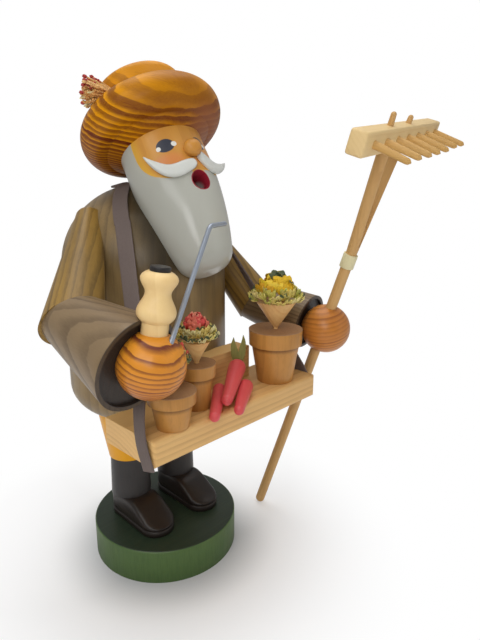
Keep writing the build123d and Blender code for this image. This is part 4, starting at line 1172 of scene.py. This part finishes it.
def makeShoe(shape, x):
    sole, deep = shape["sole"], shape["weltDeep"]
    welt = sole + shape["weltTall"]
    edges = (  # height and inset, from the floor up to the welt
        (0.0, 0.35), (0.35, 0.0), (sole - 0.3, 0.0), (sole, 0.3),
        (sole + 0.08, deep), (welt - 0.08, deep), (welt, 0.25), (welt + 0.3, shape["upperInset"]),
    )
    rings = []
    for height, inset in edges:
        z = shape["floor"] + height
        rings.append([(x + c * r, y + s * r, z) for y, c, s, r in shoeOutline(shape, inset)])
    low = edges[-1][0]
    for step in range(1, shape["upperSteps"] + 1):
        t = math.sin(math.pi / 2 * step / shape["upperSteps"])
        ring = []
        for y, c, s, r in shoeOutline(shape, shape["upperInset"]):
            part = min(max((y + s * r * 0.5) / shape["roundOver"] + 1, 0), 1)
            power = shape["roundToe"] + (shape["roundHeel"] - shape["roundToe"]) * part
            keep = max(1 - t**power, 0) ** (1 / power)
            px, py = x + c * r * keep, y + s * r * keep
            ring.append((px, py, shape["floor"] + low + (shoeHeight(shape, py) - low) * t))
        rings.append(ring)
    return loft("shoe", rings)


shoeFinish = brushed("shoePaint", (36, 29, 25), (50, 40, 34), way=(0, 1, 0))
for side, name in ((-1, "right"), (1, "left")):
    mesh = makeShoe(shoeShape, side * shoeShape["spread"])
    addPiece(name + "_turned_shoe", mesh, shoeFinish, "stand", "dark_shoe", name + "_shoe", sharp=50)

# Nose: a ball, a little wider than tall
noseShape = dict(up=-0.8, out=19.4, wide=3.8, tall=3.5, deep=3.3, steps=32, sides=36)
noseMiddle = headOrigin + faceFront * noseShape["out"] + headUp * noseShape["up"]
rings = []
for k in range(1, noseShape["steps"]):
    turn = math.pi * k / noseShape["steps"]
    spot = noseMiddle - faceFront * (math.cos(turn) * noseShape["deep"])
    wide, tall = math.sin(turn) * noseShape["wide"], math.sin(turn) * noseShape["tall"]
    rings.append(roundedRing(spot, headUp.cross(faceFront), headUp, wide, tall, 2.0, noseShape["sides"]))
addPiece("turned_nose", loft("nose", rings), noseWood, "figure", "skin_wood", "nose", sharp=60)

# Moustache: two pointed crescents with round edges
moustacheShape = dict(
    faceTurn=-6.4, turn=21.6, back=18.1, pivot=-6.0,
    thick=1.25, tipThick=0.25, tipHalf=2.0, sides=18, square=2.8,
    droop={-1: 0.0, 1: 22.5}, lift={-1: 0.0, 1: 1.8},
    inner={-1: 1.0, 1: 0.78},  # the left half starts behind the nose
    spine=(  # outward, up and half width
        (-6.3, -6.9, 0.25), (-5.9, -7.0, 1.3), (-4.6, -7.2, 2.1), (-2.4, -7.6, 2.5),
        (0.5, -8.2, 2.75), (3.5, -8.3, 2.7), (6.4, -7.2, 2.3), (9.0, -5.0, 1.65),
        (11.0, -2.6, 0.95), (12.2, -0.8, 0.4), (12.7, 0.0, 0.08),
    ),
)


def makeCrescent(shape, side):
    turn = math.radians(shape["faceTurn"] + side * shape["turn"])
    way = headAhead * math.cos(turn) + Vector((1, 0, 0)) * math.sin(turn)
    level = headUp.cross(way) * side
    droop = math.radians(shape["droop"][side])
    outward = level * math.cos(droop) - headUp * math.sin(droop)
    rise = headUp * math.cos(droop) + level * math.sin(droop)
    pivot = headUp * (shape["pivot"] + shape["lift"][side]) - rise * shape["pivot"]
    origin = headOrigin + way * shape["back"] + pivot
    inner = shape["inner"][side]
    path = smoothPath([(out * inner if out < 0 else out, up, half) for out, up, half in shape["spine"]], 4)
    rings = []
    for i, (out, up, half) in enumerate(path):
        run = runAt(path, i).xy.normalized()
        middle = origin + outward * out + rise * up
        thick = shape["thick"] * min(1.0, shape["tipThick"] + half / shape["tipHalf"])
        across = outward * -run.y + rise * run.x
        rings.append(roundedRing(middle, across, way, half, thick, shape["square"], shape["sides"]))
    return loft("crescent", rings)


for side, name in ((-1, "right"), (1, "left")):
    mesh = makeCrescent(moustacheShape, side)
    addPiece(name + "_crescent", mesh, greyBeard, "figure", "grey_beard", name + "_moustache", sharp=60)
print("shoes, nose and moustache made")

# Strap: one flat band from tray end to tray end, round the back of the neck
strapShape = dict(
    width=6.4, thick=1.0, slack=0.02, square=6.0, sides=20,
    dome=(0, 9, 139), reach=37.8, neckSlope=16.0, neckTurn=90.0, neckSteps=6,
    leaveSlope=62.0, leaveTurn=131.0, leaveSteps=7, leaveEase=0.35, passing=(-38.4, -37.7, 113.0),
    ends={-1: (-47.6, -50.0), 1: (47.0, -46.0)}, bendZ=91.8, endZ=78.7, slant=4.5,
)


def domeSpot(shape, turn, slope):
    level = math.sin(math.radians(slope))
    turn = math.radians(turn)
    out = Vector((math.sin(turn) * level, math.cos(turn) * level, math.cos(math.radians(slope))))
    return Vector(shape["dome"]) + out * shape["reach"], out


def strapRun(shape, side):
    neckTurn, neckSlope, neckSteps = shape["neckTurn"], shape["neckSlope"], shape["neckSteps"]
    turns = [(neckTurn * k / neckSteps, neckSlope) for k in range(1, neckSteps + 1)]
    for k in range(1, shape["leaveSteps"] + 1):
        share = k / shape["leaveSteps"]
        turn = neckTurn + (shape["leaveTurn"] - neckTurn) * share ** shape["leaveEase"]
        turns.append((turn, neckSlope + (shape["leaveSlope"] - neckSlope) * share))
    spots = [domeSpot(shape, side * turn, slope) for turn, slope in turns]
    away = Vector((side, 0, 0))
    if side < 0:
        spots.append((Vector(shape["passing"]), (spots[-1][1] + away).normalized()))
    x, y = shape["ends"][side]
    spots.append((Vector((x, y, shape["bendZ"])), away))
    spots.append((Vector((x, y - shape["slant"], shape["endZ"])), away))
    return spots


neckSpot = domeSpot(strapShape, 0, strapShape["neckSlope"])
route = strapRun(strapShape, -1)[::-1] + [neckSpot] + strapRun(strapShape, 1)
path = smoothPath([list(spot) + list(out) for spot, out in route], 6)
halfWide = strapShape["width"] / 2 - strapShape["slack"]
halfThick = strapShape["thick"] / 2
rings = []
for i, values in enumerate(path):
    spot, out = Vector(values[:3]), Vector(values[3:]).normalized()
    run = runAt(path, i)
    run = (run - out * out.dot(run)).normalized()
    square, sides = strapShape["square"], strapShape["sides"]
    rings.append(roundedRing(spot, out.cross(run), out, halfWide, halfThick, square, sides))
strapFinish = brushed("strapLeather", (110, 97, 92), (86, 74, 70), rough=0.75, coat=0.0, marks=0.3)
addPiece("leather_strap", loft("strap", rings), strapFinish, "figure", "strap_leather", "strap", sharp=50)
strapLength = sum((Vector(b[:3]) - Vector(a[:3])).length for a, b in zip(path, path[1:]))
print("strap made, %.0f mm long" % strapLength)

# Rake: a bar with soft edges and round pegs
rakeShape = dict(foot=(55.2, -14.8, 0), turn=-10.8, tilt=4.9, droop=6.0)
rakeFoot = Vector(rakeShape["foot"])
rakeTurn, rakeTilt, pegDroop = (math.radians(rakeShape[key]) for key in ("turn", "tilt", "droop"))
rakeAcross = (Vector((1, 0, 0)) - rakeUp * rakeUp.x).normalized()
rakeSide = rakeAcross * math.cos(rakeTurn) + rakeAcross.cross(rakeUp) * math.sin(rakeTurn)
rakeFront = rakeSide.cross(rakeUp)
barSide = rakeSide * math.cos(rakeTilt) + rakeUp * math.sin(rakeTilt)
barRise = rakeUp * math.cos(rakeTilt) - rakeSide * math.sin(rakeTilt)
barShape = dict(
    up=205.8, shift=4.4, length=86.0, height=9.0, depth=6.9, soft=1.1, square=9.0, sides=40,
    ends=((0.0, 0.75), (0.25, 0.35), (0.7, 0.1), (1.2, 0.0)),  # inward from the end, and share of soft
)
barMiddle = rakeFoot + rakeUp * barShape["up"] + barSide * barShape["shift"]
half = barShape["length"] / 2
places = [(inward - half, shrink) for inward, shrink in barShape["ends"]]
places += [(-place, shrink) for place, shrink in reversed(places)]
rings = []
for place, shrink in places:
    spot = barMiddle + barSide * place
    deep, high = (barShape[key] / 2 - barShape["soft"] * shrink for key in ("depth", "height"))
    rings.append(roundedRing(spot, rakeFront, barRise, deep, high, barShape["square"], barShape["sides"]))
barRun = dict(fibre=barSide, layer=(0.2, -0.8, 0.5), centre=barMiddle, pith=26, ring=1.5)
barWood = turnedWood("barWood", **rakeGrain, **barRun)
addPiece("rake_bar", loft("bar", rings), barWood, "rake", "rake_wood", "rake_head", sharp=50)

pegInputs = dict(
    Count="Int", Pitch="Vector", Length="Float", Radius="Float", Tip="Float", Facing="Rotation", Seed="Int",
    Finish="Material",
)
pegShape = dict(
    count=7, pitch=12.0, shift=5.7, deep=2.2, length=14.6, radius=1.55, tip=1.15, steps=22, sides=14,
    roundFrom=0.9, roundMost=0.98, stray=0.03, seed=3,
)
pegTree, tree, given = startTree("rakePegs", pegInputs)
seed = given["Seed"]
pegEnds = {"Start": (0, 0, 0), "End": joinXyz(0, 0, given["Length"])}
pegLine = tree.add("GeometryNodeCurvePrimitiveLine", None, pegEnds)
pegLine = tree.add("GeometryNodeResampleCurve", None, {"Curve": pegLine, "Count": pegShape["steps"]})
share = tree.add("GeometryNodeSplineParameter")
ending = ((share - pegShape["roundFrom"]) / (1 - pegShape["roundFrom"])).larger(0.0)
roundOff = (1 - ending * ending * pegShape["roundMost"]) ** 0.5
pegRadius = (given["Radius"] + (given["Tip"] - given["Radius"]) * share) * roundOff
pegLine = tree.add("GeometryNodeSetCurveRadius", None, {"Curve": pegLine, "Radius": pegRadius})
pegSection = {"Resolution": pegShape["sides"], "Radius": 1.0}
pegCircle = tree.add("GeometryNodeCurvePrimitiveCircle", None, pegSection)
pegSkin = {"Curve": pegLine, "Profile Curve": pegCircle, "Fill Caps": True, "Scale": pegRadius}
peg = tree.add("GeometryNodeCurveToMesh", None, pegSkin)
peg = tree.add("GeometryNodeSetShadeSmooth", None, {0: peg})
pegRow = tree.add("GeometryNodeMeshLine", None, {"Count": given["Count"], "Offset": given["Pitch"]})
wobble = turnedBy(tree, stray(tree, pegShape["stray"], seed), stray(tree, pegShape["stray"], seed, 1), 0)
facing = tree.add("FunctionNodeRotateRotation", {"rotation_space": "LOCAL"}, {0: given["Facing"], 1: wobble})
endTree(tree, setOut(tree, pegRow, peg, facing), given["Finish"])

pegWay = rakeFront * math.cos(pegDroop) - barRise * math.sin(pegDroop)
firstShift = pegShape["shift"] - pegShape["pitch"] * (pegShape["count"] - 1) / 2
firstPeg = rakeFoot + rakeUp * barShape["up"] + barSide * firstShift
firstPeg += rakeFront * (barShape["depth"] / 2) - pegWay * pegShape["deep"]
pegTone = {**rakeGrain, "light": (204, 160, 92), "dark": (172, 124, 64)}
pegRun = dict(fibre=pegWay, layer=(0.2, 0.3, 0.9), centre=firstPeg, pith=7, ring=1.1)
pegWood = turnedWood("pegWood", **pegTone, **pegRun)
pegValues = dict(
    Count=pegShape["count"], Pitch=barSide * (pegShape["pitch"] * mm),
    Length=(pegShape["deep"] + pegShape["length"]) * mm, Radius=pegShape["radius"] * mm,
    Tip=pegShape["tip"] * mm, Facing=pegWay.to_track_quat("Z", "Y").to_euler(),
    Seed=pegShape["seed"], Finish=pegWood,
)
mesh = growMesh("rake_pegs", pegTree, pegValues, Matrix.Translation(firstPeg * mm))
pegNodes = ["rake_tine_%d" % number for number in range(1, pegShape["count"] + 1)]
addPiece("rake_pegs", mesh, pegWood, "rake", "rake_wood", *pegNodes, sharp=60)
print("rake made")
